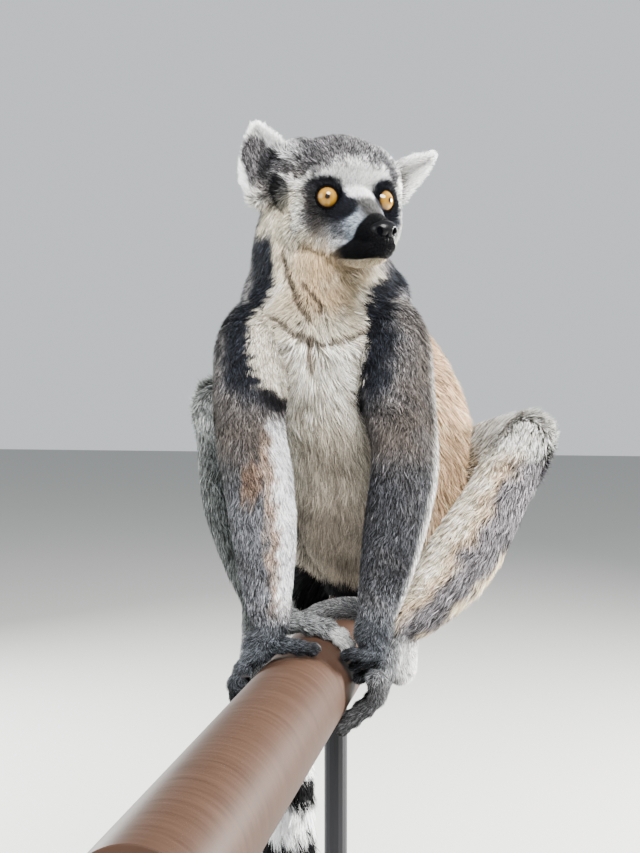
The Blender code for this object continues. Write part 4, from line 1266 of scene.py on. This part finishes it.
blotch = add_texture(tree, "ShaderNodeTexNoise", Scale=14.0, Detail=4.0)
ramp = tree.nodes.new("ShaderNodeValToRGB")
ramp.color_ramp.elements[0].position = 0.3
ramp.color_ramp.elements[0].color = (0.018, 0.0095, 0.006, 1)
ramp.color_ramp.elements[1].position = 0.72
ramp.color_ramp.elements[1].color = (0.045, 0.025, 0.017, 1)
join(tree, scuff, "Fac", ramp, "Fac")
mix = tree.nodes.new("ShaderNodeMix")
mix.data_type = "RGBA"
mix.inputs["B"].default_value = (0.029, 0.016, 0.011, 1)
join(tree, blotch, "Fac", mix, "Factor")
join(tree, ramp, "Color", mix, "A")
join(tree, mix, "Result", shader, "Base Color")
rough = add_node(tree, "ShaderNodeMapRange", To_Min=0.42, To_Max=0.6)
join(tree, scuff, "Fac", rough, "Value")
join(tree, rough, "Result", shader, "Roughness")
add_dents(tree, shader, scuff, "Fac", 0.15, 0.0003)
rail.data.materials.append(brown_paint)

# ---------------------------------------------------------------- Stand
# A flat fibreboard base plate and two steel rods that carry the rail from below, all in satin black
# paint: the solids' own nodes with a new finish.

black_paint, tree, shader = new_material("stand_paint", 0.5, (0.014, 0.014, 0.016))
shader.inputs["IOR"].default_value = 1.25
peel = add_texture(tree, "ShaderNodeTexNoise", Scale=700.0, Detail=2.0)
add_dents(tree, shader, peel, "Fac", 0.12, 0.0002)
for name in ("stand_base", "stand_rod_front", "stand_rod_back"):
    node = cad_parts[name]
    node.data.materials.clear()
    node.data.materials.append(black_paint)

# ---------------------------------------------------------------- Floor, lights and camera
# A pale studio floor, a soft key lamp high in front on the animal's left, a weak broad fill on its
# right, and two small lamps behind that edge the coat with light.

form = bmesh.new()
bmesh.ops.create_grid(form, x_segments=1, y_segments=1, size=8.0)
floor = new_object("floor", form)
floor.data.materials.append(new_material("floor", 0.8, (0.33, 0.33, 0.32))[0])

world = bpy.data.worlds.new("studio")
bpy.context.scene.world = world
world.use_nodes = True
sky = world.node_tree.nodes["Background"]
sky.inputs["Color"].default_value = (0.84, 0.89, 0.92, 1)
sky.inputs["Strength"].default_value = 0.9


def area_light(name, at, aim, size, power, colour):
    lamp = bpy.data.lights.new(name, "AREA")
    lamp.shape = "DISK"
    lamp.size = size
    lamp.energy = power
    lamp.color = colour
    made = bpy.data.objects.new(name, lamp)
    made.location = at
    made.rotation_mode = "QUATERNION"
    made.rotation_quaternion = (Vector(aim) - Vector(at)).to_track_quat("-Z", "Y")
    bpy.context.scene.collection.objects.link(made)


area_light("key", (0.75, -1.3, 2.0), (0, 0.05, 0.5), 1.2, 270, (1, 0.985, 0.96))
area_light("fill", (-1.6, -1.1, 1.1), (0, 0.05, 0.5), 1.6, 42, (0.95, 0.98, 1))
area_light("edge_right", (1.5, 0.95, 0.85), (0, 0.08, 0.5), 0.5, 360, (1, 0.98, 0.94))
area_light("edge_left", (-1.4, 1.1, 0.95), (0, 0.08, 0.5), 0.6, 150, (0.97, 1, 0.97))

lens = bpy.data.cameras.new("camera")
lens.sensor_fit = "VERTICAL"
lens.sensor_height = 36.0
lens.lens = 54.87
lens.clip_start = 0.02
camera = bpy.data.objects.new("camera", lens)
camera.location = (0.14005, -0.71262, 0.56252)
camera_dip, camera_turn = 2.49, 9.82
camera.rotation_euler = (math.radians(90 - camera_dip), 0, math.radians(camera_turn))
bpy.context.scene.collection.objects.link(camera)
bpy.context.scene.camera = camera
